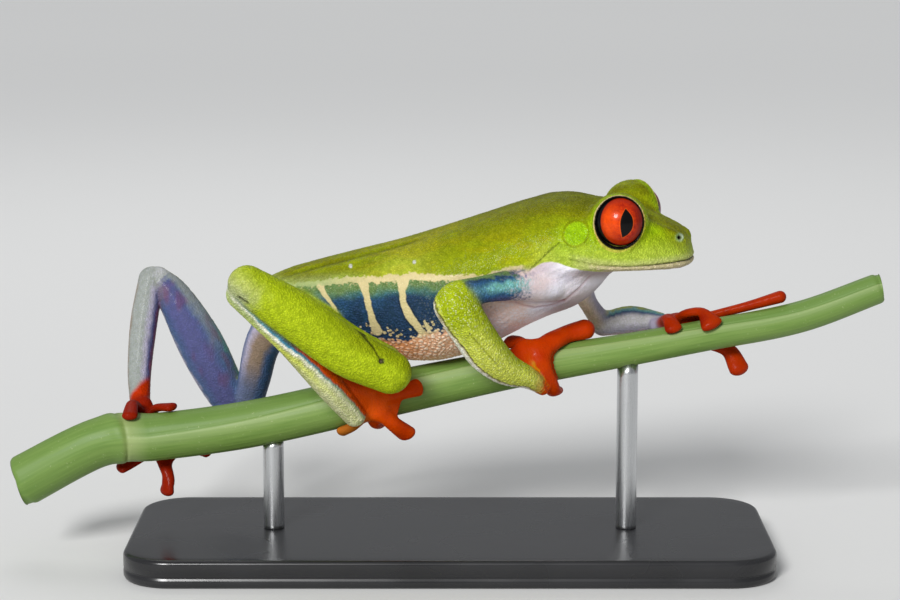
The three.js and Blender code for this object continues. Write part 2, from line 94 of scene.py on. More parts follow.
# Limbs: points of the middle line, each with a radius.
LIMBS = {
    "thigh_right": [(-21.5, -3.5, 35.8, 3.7), (-15.2, -8.4, 32.4, 3.5), (-9.4, -11, 30.2, 3)],
    "shank_right": [
        (-8.3, -13.2, 29.7, 3), (-14.4, -14.4, 32.9, 3.35), (-21.5, -15.6, 38.4, 3.3),
        (-27.6, -16, 42.4, 2.7),
    ],
    "tarsus_right": [
        (-28.5, -15.2, 41, 2.1), (-25.2, -14.1, 37.2, 1.9), (-22, -13, 33.6, 1.8),
        (-16.9, -10, 27.1, 1.95), (-13.5, -7, 22.2, 1.6),
    ],
    "thigh_left": [
        (-22.5, 3.6, 37, 3.5), (-27.2, 8, 30, 2.7), (-28.9, 10.2, 24, 2.4),
        (-30.4, 12, 18.6, 2.2),
    ],
    "shank_left": [
        (-31.2, 12.2, 17.9, 2.4), (-34, 12.6, 22.6, 3.1), (-37.2, 13.5, 28.7, 3.4),
        (-40.9, 14.5, 35.2, 2.6), (-43.4, 15, 38.1, 1.8),
    ],
    "tarsus_left": [
        (-44.4, 14.8, 38, 1.9), (-45.4, 12.8, 31.8, 2), (-45.8, 9.8, 25.4, 1.75),
        (-45.5, 7, 21.4, 1.5),
    ],
    "upper_arm_right": [(13.6, -6.6, 41.4, 2.9), (7, -10.3, 41.2, 2), (1.4, -12.8, 40.6, 1.9)],
    "forearm_right": [
        (0.85, -13.2, 39.2, 3), (2.5, -12.4, 36.2, 2.85), (5, -10.6, 32.2, 2.75),
        (7.8, -8.6, 29.3, 2.2), (11, -6.6, 27.6, 1.5), (13.1, -4.6, 25.5, 0.9),
    ],
    "upper_arm_left": [(18.6, 4, 39.2, 1.9), (20.1, 6.2, 36, 1.35), (21.9, 7.6, 33.2, 1.5)],
    "forearm_left": [(22.4, 7.8, 32.5, 1.7), (26.4, 7.4, 33.3, 2), (30.4, 5.6, 33.4, 1.3)],
}

# Palms and soles, laid on the stem: X, angle round it from the top towards the frog's left, height over
# its surface, half width, half thickness.
PALMS = {
    "foot_right": [
        (-16.8, -50, 10.6, 0.5, 0.5), (-15.2, -57, 7.9, 1.05, 0.75), (-13.5, -66, 5.2, 1.5, 0.95),
        (-11.4, -84, 1.9, 2.2, 0.9), (-9.6, -94, 1.4, 2.4, 0.85),
    ],
    "foot_left": [(-45.2, 58, 3, 1.7, 1.2), (-44.4, 82, 1.7, 2.2, 1), (-43.2, 115, 1.3, 2.6, 0.85)],
    "hand_right": [(9.6, -64, 2.2, 1.6, 1), (11.8, -60, 1.5, 2.5, 1), (13.6, -70, 1.2, 2.2, 0.85)],
    "hand_left": [(30.2, 66, 2.1, 1.2, 0.9), (32.2, 62, 1.4, 1.8, 0.9), (34, 70, 1.1, 1.8, 0.7)],
}

# Digits, in the same way; each ends in its round disc.
DIGITS = {
    "finger_right_1": [
        (11.2, -50, 1.6, 1.1, 0.9), (10.6, -28, 1.5, 1.1, 0.85), (9.4, -10, 1.25, 1.35, 0.85),
    ],
    "finger_right_2": [
        (12.8, -44, 1.1, 0.9, 0.7), (14.8, -4, 0.85, 0.7, 0.6), (15.4, 30, 0.85, 0.75, 0.6),
        (15.6, 56, 0.8, 1.15, 0.6),
    ],
    "finger_right_3": [
        (12.8, -54, 1.5, 1.4, 1.05), (15, -28, 1.1, 1.6, 1.2), (17.4, -2, 1.15, 1.35, 1.3),
        (19.9, 8, 1.35, 1.6, 1.5),
    ],
    "finger_right_4": [
        (12.8, -78, 1.7, 1.3, 0.95), (13.4, -98, 1.6, 1.2, 0.9), (13.9, -124, 1.6, 1.15, 0.85),
        (14.2, -146, 1.7, 1.1, 0.8), (14.4, -166, 1.5, 1.25, 0.75),
    ],
    "finger_left_1": [
        (31.4, 50, 1.3, 0.95, 0.7), (31.8, 16, 1.1, 0.95, 0.65), (32, -14, 0.9, 1.05, 0.65),
        (32.2, -44, 0.8, 1.25, 0.65),
    ],
    "finger_left_2": [
        (33.2, 46, 1.3, 0.8, 0.65), (34.6, 8, 1.3, 0.75, 0.6), (36.6, -12, 1.3, 0.8, 0.65),
        (37.5, -52, 0.8, 1.65, 0.75),
    ],
    "finger_left_3": [
        (34.6, 60, 1.1, 0.8, 0.65), (38.6, 42, 0.8, 0.75, 0.65), (43.4, 22, 0.85, 0.8, 0.7),
        (48, 10, 1.15, 1.1, 0.9),
    ],
    "finger_left_4": [
        (34.2, 90, 1.2, 0.9, 0.65), (36.6, 118, 1.2, 0.95, 0.7), (39.6, 140, 2.1, 1.15, 0.85),
        (40.6, 166, 3.9, 1.5, 1.05),
    ],
    "toe_right_1": [(-11.4, -76, 1.6, 0.9, 0.7), (-9.6, -58, 1.2, 0.75, 0.6), (-8.4, -40, 0.8, 1.1, 0.6)],
    "toe_right_2": [(-10, -82, 1.5, 1.1, 0.8), (-7, -82, 1.2, 0.95, 0.8), (-4.5, -78, 1.05, 1.3, 0.85)],
    "toe_right_3": [
        (-10, -108, 1.5, 1.3, 0.9), (-8.9, -130, 2.1, 1.15, 0.95), (-7.5, -158, 2.9, 1.5, 1),
    ],
    "toe_right_4": [
        (-11.4, -108, 1.2, 1.1, 0.7), (-11.4, -142, 0.9, 0.8, 0.65), (-10.8, -186, 0.85, 0.75, 0.6),
        (-10.4, -222, 0.8, 1.2, 0.6),
    ],
    "toe_right_5": [
        (-12.6, -104, 1.5, 1.1, 0.8), (-14.4, -130, 1, 0.8, 0.65), (-16.2, -146, 0.8, 1.05, 0.65),
    ],
    "toe_left_1": [
        (-45.2, 60, 1.6, 1, 0.75), (-45.8, 16, 1.2, 0.85, 0.65), (-45.8, -33, 0.8, 1.15, 0.65),
    ],
    "toe_left_2": [(-43.6, 70, 1.3, 0.9, 0.7), (-42.2, 26, 0.7, 0.75, 0.6), (-39.6, -4, 0.7, 1.1, 0.6)],
    "toe_left_3": [(-42.2, 104, 1.3, 1, 0.7), (-39, 124, 1.1, 0.75, 0.6), (-35.6, 148, 0.8, 1.15, 0.6)],
    "toe_left_4": [
        (-42.8, 124, 1.2, 1.1, 0.7), (-42, 156, 1.8, 0.95, 0.7), (-41.6, 170, 3.2, 0.9, 0.7),
        (-42, 174, 5, 1.4, 0.75),
    ],
    "toe_left_5": [
        (-43.8, 128, 1.2, 1, 0.7), (-46, 148, 1.5, 0.8, 0.65), (-48.7, 160, 1.5, 1.15, 0.65),
    ],
}

# ---------------------------------------------------------------- curves and small functions


def hermite(u, start, leave, end, arrive):
    """The cubic from start to end, with those slopes, at a share u of the way."""
    u2, u3 = u * u, u * u * u
    share = 3 * u2 - 2 * u3
    return (1 - share) * start + (u3 - 2 * u2 + u) * leave + share * end + (u3 - u2) * arrive


def through(rows):
    """A smooth curve through rows sorted by their first number: x => the other columns."""
    table = np.array(rows, float)
    x, columns = table[:, 0], table[:, 1:]
    before = np.maximum(np.arange(len(x)) - 1, 0)
    after = np.minimum(np.arange(len(x)) + 1, len(x) - 1)
    slopes = (columns[after] - columns[before]) / (x[after] - x[before])[:, None]

    def at(place):
        place = np.clip(np.asarray(place, float), x[0], x[-1])
        i = np.clip(np.searchsorted(x, place, side="right") - 1, 0, len(x) - 2)
        width = x[i + 1] - x[i]
        u = (place - x[i]) / width
        pairs = zip(columns.T, slopes.T)
        return [hermite(u, c[i], width * m[i], c[i + 1], width * m[i + 1]) for c, m in pairs]

    return at


def smooth_line(rows):
    """A Catmull-Rom curve through rows, with a few places in each span."""
    steps = 5
    rows = np.array(rows, float)
    ends = np.vstack([2 * rows[0] - rows[1], rows, 2 * rows[-1] - rows[-2]])
    slopes = (ends[2:] - ends[:-2]) / 2
    u = np.linspace(0, len(rows) - 1, steps * (len(rows) - 1) + 1)
    i = np.minimum(u.astype(int), len(rows) - 2)
    return hermite((u - i)[:, None], rows[i], slopes[i], rows[i + 1], slopes[i + 1])


def step(low, high, value):
    """0 below low and 1 above high, smooth between; low may be the higher one."""
    t = np.clip((value - low) / (high - low), 0, 1)
    return t * t * (3 - 2 * t)


def hump(value, width):
    return np.exp(-((value / width) ** 2))


def soft_min(a, b, softness):
    h = np.maximum(softness - np.abs(a - b), 0) / softness
    return np.minimum(a, b) - h * h * softness / 4


def unit(v):
    v = np.asarray(v, float)
    return v / np.linalg.norm(v, axis=-1, keepdims=True)


def srgb(code):
    """A colour code as linear numbers."""
    parts = np.array([int(code[i : i + 2], 16) / 255 for i in (0, 2, 4)])
    return np.where(parts <= 0.04045, parts / 12.92, ((parts + 0.055) / 1.055) ** 2.4)


LATTICE = np.random.default_rng(11).uniform(-1, 1, (32, 32, 32)).astype(np.float32)
SCATTER = np.random.default_rng(12).uniform(0.05, 0.95, (32, 32, 32, 3)).astype(np.float32)
CORNERS = list(itertools.product((0, 1), repeat=3))


def blend(corner, u, value_at):
    """Blends the values at the corners of each point's grid cell; u is the point's place in the cell."""
    total = 0
    for shift in CORNERS:
        part = value_at((corner + shift).T)
        for axis, ahead in enumerate(shift):
            part = part * (u[:, axis] if ahead else 1 - u[:, axis])
        total = total + part
    return total


def rough(points, size):
    """Smooth noise from -1 to 1 with lumps of that size; size may differ along x, y and z."""
    place = points / np.asarray(size, float)
    corner = np.floor(place).astype(int)
    u = place - corner
    return blend(corner, u * u * (3 - 2 * u), lambda cell: LATTICE[tuple(cell & 31)])


def pebbles(points, size):
    """For each point, how far it is from the nearest and the next nearest of scattered seeds."""
    place = points / size
    corner = np.floor(place).astype(int)
    first = np.full(len(points), 9.0)
    second = first.copy()
    for shift in itertools.product((-1, 0, 1), repeat=3):
        cell = corner + shift
        seed = cell + SCATTER[tuple(cell.T & 31)]
        d = np.sqrt(((place - seed) ** 2).sum(1))
        second = np.minimum(second, np.maximum(first, d))
        first = np.minimum(first, d)
    return first * size, second * size


# ---------------------------------------------------------------- the stem's frame and the head's

stem_curve = through(STEM)


def stem_frame(x):
    """The stem's middle height, radius, and the two parts of its crosswise direction at x."""
    z, radius = stem_curve(x)
    gap = 0.1
    rise = (stem_curve(x + gap)[0] - stem_curve(x - gap)[0]) / (2 * gap)
    length = np.sqrt(1 + rise * rise)
    return z, radius, -rise / length, 1 / length


def on_stem(x, degrees, lift):
    x = np.asarray(x, float)
    z, radius, over_x, over_z = stem_frame(x)
    angle = np.radians(degrees)
    reach = (radius + lift) * np.cos(angle)
    return np.stack([x + over_x * reach, (radius + lift) * np.sin(angle), z + over_z * reach], -1)


def stem_distance(x, y, z):
    foot = x
    for _ in range(2):
        middle, radius, over_x, over_z = stem_frame(foot)
        foot = x - (z - middle) * over_x * over_z
    middle, radius, over_x, over_z = stem_frame(foot)
    over = (x - foot) * over_x + (z - middle) * over_z
    return np.sqrt(over * over + y * y) - radius


def to_head(x, y, z):
    dx, dy = x - HEAD[0], y - HEAD[1]
    return dx * math.cos(YAW) - dy * math.sin(YAW), dx * math.sin(YAW) + dy * math.cos(YAW), z - HEAD[2]


def from_head(s, t, h):
    x = s * math.cos(YAW) + t * math.sin(YAW) + HEAD[0]
    y = -s * math.sin(YAW) + t * math.cos(YAW) + HEAD[1]
    return np.array([x, y, h + HEAD[2]])


def eye_frame(way, axis):
    """The middle of an eye and its directions: out along the axis, ahead, up."""
    ahead, raised = np.radians(axis[way])
    turn = from_head(0, 0, 0)
    out = unit(from_head(math.sin(ahead), way * math.cos(ahead), math.tan(raised)) - turn)
    front = unit(from_head(math.cos(ahead), -way * math.sin(ahead), 0) - turn)
    up = unit(np.cross(front, out) * way)
    return from_head(0, way * EYE["side"], 0), out, front, up


def lid_middle(way):
    ahead, up = LID_SHIFT[way]
    return from_head(ahead, way * EYE["side"], up)


WAYS = {"right": -1, "left": 1}

# ---------------------------------------------------------------- distances from the shapes

FAR = 9.0
trunk_curve = through(TRUNK)
skull_curve = through(SKULL)


def trunk_outline(x):
    width, back, belly = trunk_curve(x)
    level = belly + (back - belly) * WIDEST
    return width, back - level, level - belly, level


def skull_outline(s):
    return *skull_curve(s), MOUTH_LEVEL


def loft_distance(s, t, h, outline, ends, caps, power):
    """Distance, to first order, from a loft along s; it is negative inside."""
    width, above, below, level = outline(s)
    rise = h - level
    height = np.where(rise > 0, above, below)
    cap = np.where(s < (ends[0] + ends[1]) / 2, *caps)
    into = np.maximum((ends[0] + caps[0] - s) / caps[0], (s - ends[1] + caps[1]) / caps[1])
    into = np.maximum(into, 0)
    out = np.sqrt((t / width) ** 2 + (rise / height) ** 2 + 1e-6)
    full = (into**power + out**power) ** (1 / power)
    along = (into / full) ** (power - 1) / cap
    across = (out / full) ** (power - 1) * np.sqrt((t / width**2) ** 2 + (rise / height**2) ** 2) / out
    return (full - 1) / np.maximum(np.sqrt(along**2 + across**2), 0.08)


def trunk_side(x, y):
    return y - TRUNK_AXIS[0] - TRUNK_AXIS[1] * x


def trunk_distance(x, y, z):
    ends = TRUNK[0][0], TRUNK[-1][0]
    return loft_distance(x, trunk_side(x, y), z, trunk_outline, ends, TRUNK_CAPS, 2)


def skull_distance(x, y, z):
    ends = SKULL[0][0], SKULL[-1][0]
    return loft_distance(*to_head(x, y, z), skull_outline, ends, SKULL_CAPS, SKULL_POWER)


def ball_distance(middle, radius):
    return lambda *place: np.sqrt(sum((p - m) ** 2 for p, m in zip(place, middle))) - radius


def on_segment(place, a, b):
    """The share of the way from a to b that is nearest to a place, and the place's offset from there."""
    ab = b - a
    u = np.clip(sum((p - start) * d for p, start, d in zip(place, a, ab)) / max(ab @ ab, 1e-6), 0, 1)
    return u, [p - start - u * d for p, start, d in zip(place, a, ab)]


def limb_tube(rows):
    line = smooth_line(rows)
    return {"line": line[:, :3], "wide": line[:, 3], "thick": line[:, 3], "normal": None}


def laid_tube(rows):
    """A tube laid on the stem; its thickness runs straight out of the stem."""
    line = smooth_line([(*on_stem(x, degrees, lift), *widths) for x, degrees, lift, *widths in rows])
    place = line[:, :3]
    middle, _, over_x, over_z = stem_frame(place[:, 0])
    over = (place[:, 2] - middle) * over_z
    normal = unit(np.stack([over * over_x, place[:, 1], over * over_z], -1))
    return {"line": place, "wide": line[:, 3], "thick": line[:, 4], "normal": normal}


def tube_segments(place, tube):
    """For each stretch of a tube: its number, the share of it passed, the offset from it, the distance."""
    line, wide, thick, normal = tube["line"], tube["wide"], tube["thick"], tube["normal"]
    for i in range(len(line) - 1):
        u, offset = on_segment(place, line[i], line[i + 1])
        width = wide[i] + u * (wide[i + 1] - wide[i])
        square = sum(o * o for o in offset)
        if normal is None:
            yield i, u, offset, np.sqrt(square) - width
            continue
        ahead = unit(line[i + 1] - line[i])
        n = normal[i] + normal[i + 1]
        n = unit(n - ahead * (n @ ahead))
        flat = sum(sum(o * k for o, k in zip(offset, direction)) ** 2 for direction in (n, ahead))
        side = np.maximum(square - flat, 0)
        depth = thick[i] + u * (thick[i + 1] - thick[i])
        out = np.sqrt(side / width**2 + flat / depth**2)
        steep = np.sqrt(side / width**4 + flat / depth**4)
        least = min(thick[i], thick[i + 1], wide[i], wide[i + 1])
        yield i, u, offset, (out - 1) * np.maximum(out / np.maximum(steep, 1e-6), least)


def tube_distance(tube):
    def distance(*place):
        best = FAR
        for _, _, _, d in tube_segments(place, tube):
            best = np.minimum(best, d)
        return best

    return distance


def tube_box(tube):
    reach = tube["wide"].max()
    return tube["line"].min(0) - reach, tube["line"].max(0) + reach


def web_shape(first, second, reach, radius):
    """Thin skin between two digits, along a share of the length of each: its box and distance."""

    def places(tube, share):
        u = np.linspace(0, share, 30) * (len(tube["line"]) - 1)
        i = np.minimum(u.astype(int), len(tube["line"]) - 2)
        part = (u - i)[:, None]
        return tube["line"][i] * (1 - part) + tube["line"][i + 1] * part

    starts, ends = places(first, reach[0]), places(second, reach[1])

    def distance(*place):
        best = FAR
        for a, b in zip(starts, ends):
            best = np.minimum(best, np.sqrt(sum(o * o for o in on_segment(place, a, b)[1])))
        return best - radius

    both = np.vstack([starts, ends])
    return (both.min(0) - radius, both.max(0) + radius), distance


# ---------------------------------------------------------------- the field and its mesh

CELL = 0.22  # the grid's step


class Field:
    """Distances from the flesh's surface on a grid."""

    def __init__(self, low, high, cell):
        self.low, self.cell = np.array(low, float), cell
        size = np.ceil((np.array(high) - self.low) / cell).astype(int) + 1
        self.values = np.full(size, FAR, np.float32)

    def window(self, low, high):
        """The part of the grid between two corners: its slices and its coordinates."""
        first = np.maximum(((np.asarray(low) - self.low) / self.cell).astype(int), 0)
        last = np.ceil((np.asarray(high) - self.low) / self.cell).astype(int) + 1
        last = np.minimum(last, self.values.shape)
        axes = [self.low[k] + self.cell * np.arange(first[k], last[k]) for k in range(3)]
        return tuple(map(slice, first, last)), np.ix_(*(axis.astype(np.float32) for axis in axes))

    def add(self, box, distance, softness=0.1, near=None):
        """Joins a shape on; near = (place, reach, softness there)."""
        margin = max(softness, near[2] if near else 0) + 3 * self.cell
        part, place = self.window(box[0] - margin, box[1] + margin)
        if near:
            middle, reach, most = near
            away = sum((p - m) ** 2 for p, m in zip(place, middle))
            softness = softness + (most - softness) * np.exp(-away / reach**2)
        self.values[part] = soft_min(self.values[part], distance(*place), softness)

    def cut(self, box, distance):
        """Takes a shape away."""
        part, place = self.window(*box)
        self.values[part] = -soft_min(-self.values[part], distance(*place), 0.1)

    def sample(self, points):
        place = np.clip((points - self.low) / self.cell, 0, np.array(self.values.shape) - 1.001)
        corner = place.astype(int)
        return blend(corner, place - corner, lambda cell: self.values[tuple(cell)])

    def slope(self, points):
        gap = 0.7 * self.cell
        parts = [self.sample(points + gap * e) - self.sample(points - gap * e) for e in np.eye(3)]
        return np.stack(parts, -1) / (2 * gap)

    def settle(self, points, rounds=2):
        """Moves points onto the surface."""
        for _ in range(rounds):
            slope = self.slope(points)
            move = self.sample(points)[:, None] * slope / np.maximum((slope**2).sum(1), 0.2)[:, None]
            points = points - np.clip(move, -0.4 * self.cell, 0.4 * self.cell)
        return points


def surface_net(field):
    """The field's surface as points and triangles: one point in each grid cell that it passes through."""
    values = field.values
    inside = values < 0
    size = [n - 1 for n in values.shape]
    corners = np.zeros(size, np.int8)
    for shift in CORNERS:
        corners += inside[tuple(slice(d, n + d) for d, n in zip(shift, size))]
    active = (corners > 0) & (corners < 8)
    cells = np.argwhere(active)
    number = np.full(active.shape, -1, np.int32)
    number[active] = np.arange(len(cells))
    total, crossings = np.zeros((len(cells), 3)), np.zeros(len(cells))
    for axis, shift in itertools.product(range(3), CORNERS):
        if shift[axis]:
            continue
        a = cells + shift
        b = a + np.eye(3, dtype=int)[axis]
        va, vb = values[tuple(a.T)], values[tuple(b.T)]
        cross = (va < 0) != (vb < 0)
        place = a.astype(float)
        place[:, axis] += np.where(cross, va / np.where(cross, va - vb, 1), 0)
        total += place * cross[:, None]
        crossings += cross
    points = field.low + field.cell * total / crossings[:, None]
    quads = []
    for axis in range(3):
        ends = [slice(k != axis, n) for k, n in enumerate(size)]
        far_ends = [slice(1, n + (k == axis)) for k, n in enumerate(size)]
        here, there = inside[tuple(ends)], inside[tuple(far_ends)]
        edges = np.argwhere(here != there)
        lower = edges + [s.start for s in ends]
        around = []
        for back_one, back_two in ((1, 1), (0, 1), (0, 0), (1, 0)):
            cell = lower.copy()
            cell[:, (axis + 1) % 3] -= back_one
            cell[:, (axis + 2) % 3] -= back_two
            around.append(number[tuple(cell.T)])
        quad = np.stack(around, -1)
        leaving = here[tuple(edges.T)]
        quad[~leaving] = quad[~leaving][:, ::-1]
        quads.append(quad)
    quads = np.vstack(quads)
    return points, np.vstack([quads[:, [0, 1, 2]], quads[:, [0, 2, 3]]])


def refine(points, faces, chosen):
    """Splits the chosen triangles in four, and their neighbours so that no crack opens."""
    count = len(points)
    ends = np.sort(faces[:, [[0, 1], [1, 2], [2, 0]]].astype(np.int64), axis=2)
    keys = ends[..., 0] * count + ends[..., 1]
    split = np.unique(keys[chosen])
    place = np.minimum(np.searchsorted(split, keys), len(split) - 1)
    has = split[place] == keys
    middles = (points[split // count] + points[split % count]) / 2
    new = count + place
    made = [faces[~has.any(1)]]
    # Triangles with one, two or three split edges; the odd edge of the first two kinds comes first.
    for amount, pieces in (
        (3, ("a ab ca", "b bc ab", "c ca bc", "ab bc ca")),
        (1, ("a ab c", "ab b c")),
        (2, ("c ca bc", "a b bc", "a bc ca")),
    ):
        some = np.flatnonzero(has.sum(1) == amount)
        turn = np.argmax(has[some] == (amount == 1), axis=1) if amount < 3 else np.zeros(len(some), int)
        order = (turn[:, None] + np.arange(3)) % 3
        old, mid = np.take_along_axis(faces[some], order, 1), np.take_along_axis(new[some], order, 1)
        named = dict(zip(("a", "b", "c", "ab", "bc", "ca"), [*old.T, *mid.T]))
        made += [np.stack([named[key] for key in piece.split()], -1) for piece in pieces]
    return np.vstack([points, middles]), np.vstack(made)


# ---------------------------------------------------------------- the flesh

LID_OPENING = {-1: math.radians(59.5), 1: math.radians(66)}  # from the lids' axis to their edge
LID_RIM = {"reach": 3.96, "radius": 0.2}
CANTHUS = [(3.4, 4.4, -0.9, 0.7), (6.2, 3.5, -1.75, 0.6), (8.2, 2.4, -2.7, 0.45)]  # s, t, h, radius
STEM_GAP = 0.03
# Corners of boxes round the flesh, the trunk and, in the head's own frame, the skull.
FLESH_BOX = (-51, -20, 6.5), (52, 19.5, 56)
TRUNK_BOX = (-28, -12, 28.5), (25, 12, 54)
SKULL_BOX = (-14, -10.4, -11.5), (9.6, 10.4, 3)

# How softly each kind of piece grows out of what it joins: reach of the join, softness in it, elsewhere.
JOINS = {
    "thigh": (5, 2.6, 0.12), "shank": (3.2, 1.6, 0.1), "tarsus": (1.9, 0.9, 0.1),
    "upper": (3, 0.9, 0.2), "forearm": (3, 1.2, 0.25), "foot": (2.6, 1.2, 0.2),
    "hand": (2.6, 1.2, 0.2), "toe": (2.2, 1.2, 0.16), "finger": (2.2, 1.3, 0.2),
    "finger_right_4": (2.2, 1.3, 0.8),
}
# Webs: the two digits, the share of each that it reaches, its half thickness.
WEBS = [
    ("toe_right_2", "toe_right_3", (0.55, 0.5), 0.3), ("toe_right_3", "toe_right_4", (0.4, 0.25), 0.3),
    ("finger_right_3", "finger_right_4", (0.62, 0.75), 0.32),
    ("finger_right_2", "finger_right_3", (0.3, 0.35), 0.3),
    ("finger_left_2", "finger_left_3", (0.35, 0.3), 0.28), ("toe_left_3", "toe_left_4", (0.5, 0.4), 0.3),
]

tubes = {name: limb_tube(rows) for name, rows in LIMBS.items()}
tubes.update({name: laid_tube(rows) for name, rows in {**PALMS, **DIGITS}.items()})


def head_box(low, high):
    """A box in the model's frame round a box in the head's frame."""
    corners = [from_head(*corner) for corner in itertools.product(*zip(low, high))]
    return np.min(corners, 0), np.max(corners, 0)


def flesh_field():
    field = Field(*FLESH_BOX, CELL)
    field.add(np.array(TRUNK_BOX), trunk_distance)
    field.add(head_box(*SKULL_BOX), skull_distance, 1.4)
    for way in WAYS.values():
        middle, reach = lid_middle(way), np.full(3, EYE["lid"])
        field.add((middle - reach, middle + reach), ball_distance(middle, EYE["lid"]), 1.2)
        ridge = limb_tube([(*from_head(s, way * t, h), radius) for s, t, h, radius in CANTHUS])
        field.add(tube_box(ridge), tube_distance(ridge), 1.2)
    for name, tube in tubes.items():
        reach, near, elsewhere = JOINS.get(name) or JOINS[name.split("_")[0]]
        field.add(tube_box(tube), tube_distance(tube), elsewhere, (tube["line"][0], reach, near))
    for first, second, reach, radius in WEBS:
        box, distance = web_shape(tubes[first], tubes[second], reach, radius)
        field.add(box, distance, 0.5)
    for way in WAYS.values():
        add_lids(field, way)
    everything = field.low, field.low + field.cell * (np.array(field.values.shape) - 1)
    field.cut(everything, lambda *place: stem_distance(*place) - STEM_GAP)
    return field


def add_lids(field, way):
    """Opens the lids over the eye, and gives them a rounded edge."""
    middle, axes, wide = lid_middle(way), eye_frame(way, LID_AXIS)[1:], LID_OPENING[way]

    def polar(x, y, z):
        dx, dy, dz = x - middle[0], y - middle[1], z - middle[2]
        along, u, v = (dx * a[0] + dy * a[1] + dz * a[2] for a in axes)
        return along, np.hypot(u / LID_OVAL[0], v / LID_OVAL[1])

    def opening(x, y, z):
        along, away = polar(x, y, z)
        cone = away * math.cos(wide) - along * math.sin(wide)
        return np.maximum(cone, 2.6 - np.hypot(along, away))

    def rim(x, y, z):
        along, away = polar(x, y, z)
        along = along - LID_RIM["reach"] * math.cos(wide)
        return np.hypot(along, away - LID_RIM["reach"] * math.sin(wide)) - LID_RIM["radius"]

    reach = np.full(3, EYE["lid"] + 1)
    field.cut((middle - reach, middle + reach), opening)
    field.add((middle - reach, middle + reach), rim, 0.3)


# ---------------------------------------------------------------- marks on the flesh

# The pale stripe between back and flank: X, height of its middle, half width.
STRIPE = through(
    [
        (-24, 40, 0.2), (-19.6, 40.5, 0.3), (-13.9, 41.3, 0.4), (-10.5, 41.55, 0.42), (-6.6, 42, 0.5),
        (-2.8, 42.15, 0.45), (1.4, 42.2, 0.4), (4.2, 42.3, 0.38), (6.9, 43.15, 0.35), (9.7, 43.75, 0.3),
        (12.5, 43.9, 0.22),
    ]
)
# The pale bars of the flank: X, height, half width at points from the stripe down.
BARS = [
    [(-18.3, 40.4, 0.5), (-17.5, 39, 0.32), (-16.5, 37.8, 0.26), (-15.4, 35.6, 0.22)],
    [(-12.2, 41.2, 0.85), (-11.9, 40, 0.5), (-11.5, 38.4, 0.42), (-11, 36.2, 0.45), (-10.3, 34.2, 0.75)],
    [
        (-6.5, 41.8, 0.9), (-6.75, 40.4, 0.5), (-6.5, 38.6, 0.45), (-5.7, 36.7, 0.62), (-4.7, 35.4, 0.5),
        (-4, 34.3, 0.5),
    ],
    [(-3, 34.9, 0.4), (-3.4, 35.6, 0.22)],
]
# Where the dark flank meets the belly: X, height.
BORDER = through(
    [
        (-26, 36.8), (-19, 34), (-14.8, 33.5), (-10.4, 33.8), (-7, 33.6), (-4.1, 34.2), (-0.7, 35.5),
        (1.4, 36.6), (5, 38.6), (10, 40.2), (14, 40.8),
    ]
)
# In the head's frame: s, height.
MOUTH = [
    (-6.6, -4.87), (-5.5, -5.16), (-4.1, -5.44), (-2, -5.75), (1.5, -5.96), (4.2, -5.85), (6.6, -5.64),
    (8.3, -5.53), (9.6, -5.6), (13, -5.6),
]
PALE_EDGE = through(
    [
        (-12.5, -7), (-11.5, -6.5), (-9.9, -5.5), (-8.15, -5.4), (-6.5, -5.95), (-3.5, -6.6),
        (-1, -6.9), (4.2, -6.85), (7.6, -6.5), (9.8, -6.2),
    ]
)
NECK_CREASE = [(-7.8, -2.7), (-8.9, -3.7), (-9.9, -4.75), (-11.2, -6.1), (-12.2, -7.1)]
NOSTRIL = (7.95, -2.4, 3.2)
DRUM = {"middle": (-5.6, -1.45), "radius": 1.72}
SPOTS = [(-14, 43), (-5, 44)]  # X and height of the white flecks on the back
# As X and height: the crease of the right knee, which ends in a pit, the slit at the right heel, and the
# creases between the right arm and the chest.
KNEE_CREASE = [(-13.6, 36.7), (-12, 35.35), (-10.6, 33.9), (-9.35, 31.9)]
HEEL_SLIT = [(-28.6, 41), (-28, 40.5), (-27.4, 40.2)]
ARM_CREASES = [
    [(4.2, 39.2), (7.1, 38.9), (10.5, 38.65), (13.7, 38.4), (16, 38.5)],
    [(9.2, 38.6), (11.8, 37.6), (14.3, 37.9), (16, 38.5)], [(19.5, 42.2), (18.2, 40.6), (16, 38.5)],
]

ARM_RIDGE = [(2.7, 35.5), (5.2, 32.3), (6.9, 30.2)]

COLOURS = dict(
    lime="a6b912", yellow_lime="bcb80e", olive="7d8006", deep_olive="565a03", bright_lime="9fcb12",
    pale_lime="b6c94e", lip="c4c784", lip_low="d0c29f", cream="d6c694", pale_green="a9b97c",
    moss="6d8a55", teal="4a8489", navy="2a4262", blue="325a86", turquoise="7cbcc0", dusk="4f6690",
    violet="555888", lavender="b3adc6", white="dcdae4", grey="999e9d", fringe="fdfbf2", sky="4596bf",
    mint="adc48e", limb_lime="b0c31e", chest_underside_shade="8c7876", throat="f6f3ff", arm_lime="e0e864",
    bright_orange="ea5c0a", pink="d8b3a8", belly_top="f8e2cd", belly_low="dfa883", belly_orange="e8924c",
    chest="d6bab4", red="b82e00", deep_red="861a02", orange="d14800", tan="917d6d", gold="d6b45c",
    plum="8c4a64", line="34360a", black="070706", brown="a06a22",
)
COLOURS = {name: srgb(code) for name, code in COLOURS.items()}


def line_distance(a, b, rows):
    """Distance in a plane to a line through rows; a third number of a row is a half width to take off."""
    rows = np.array(rows, float)
    best = np.full(len(a), FAR)
    for start, end in zip(rows[:-1], rows[1:]):
        u, offset = on_segment((a, b), start[:2], end[:2])
        d = np.hypot(*offset)
        if rows.shape[1] == 3:
            d = d - (start[2] + u * (end[2] - start[2]))
        best = np.minimum(best, d)
    return best


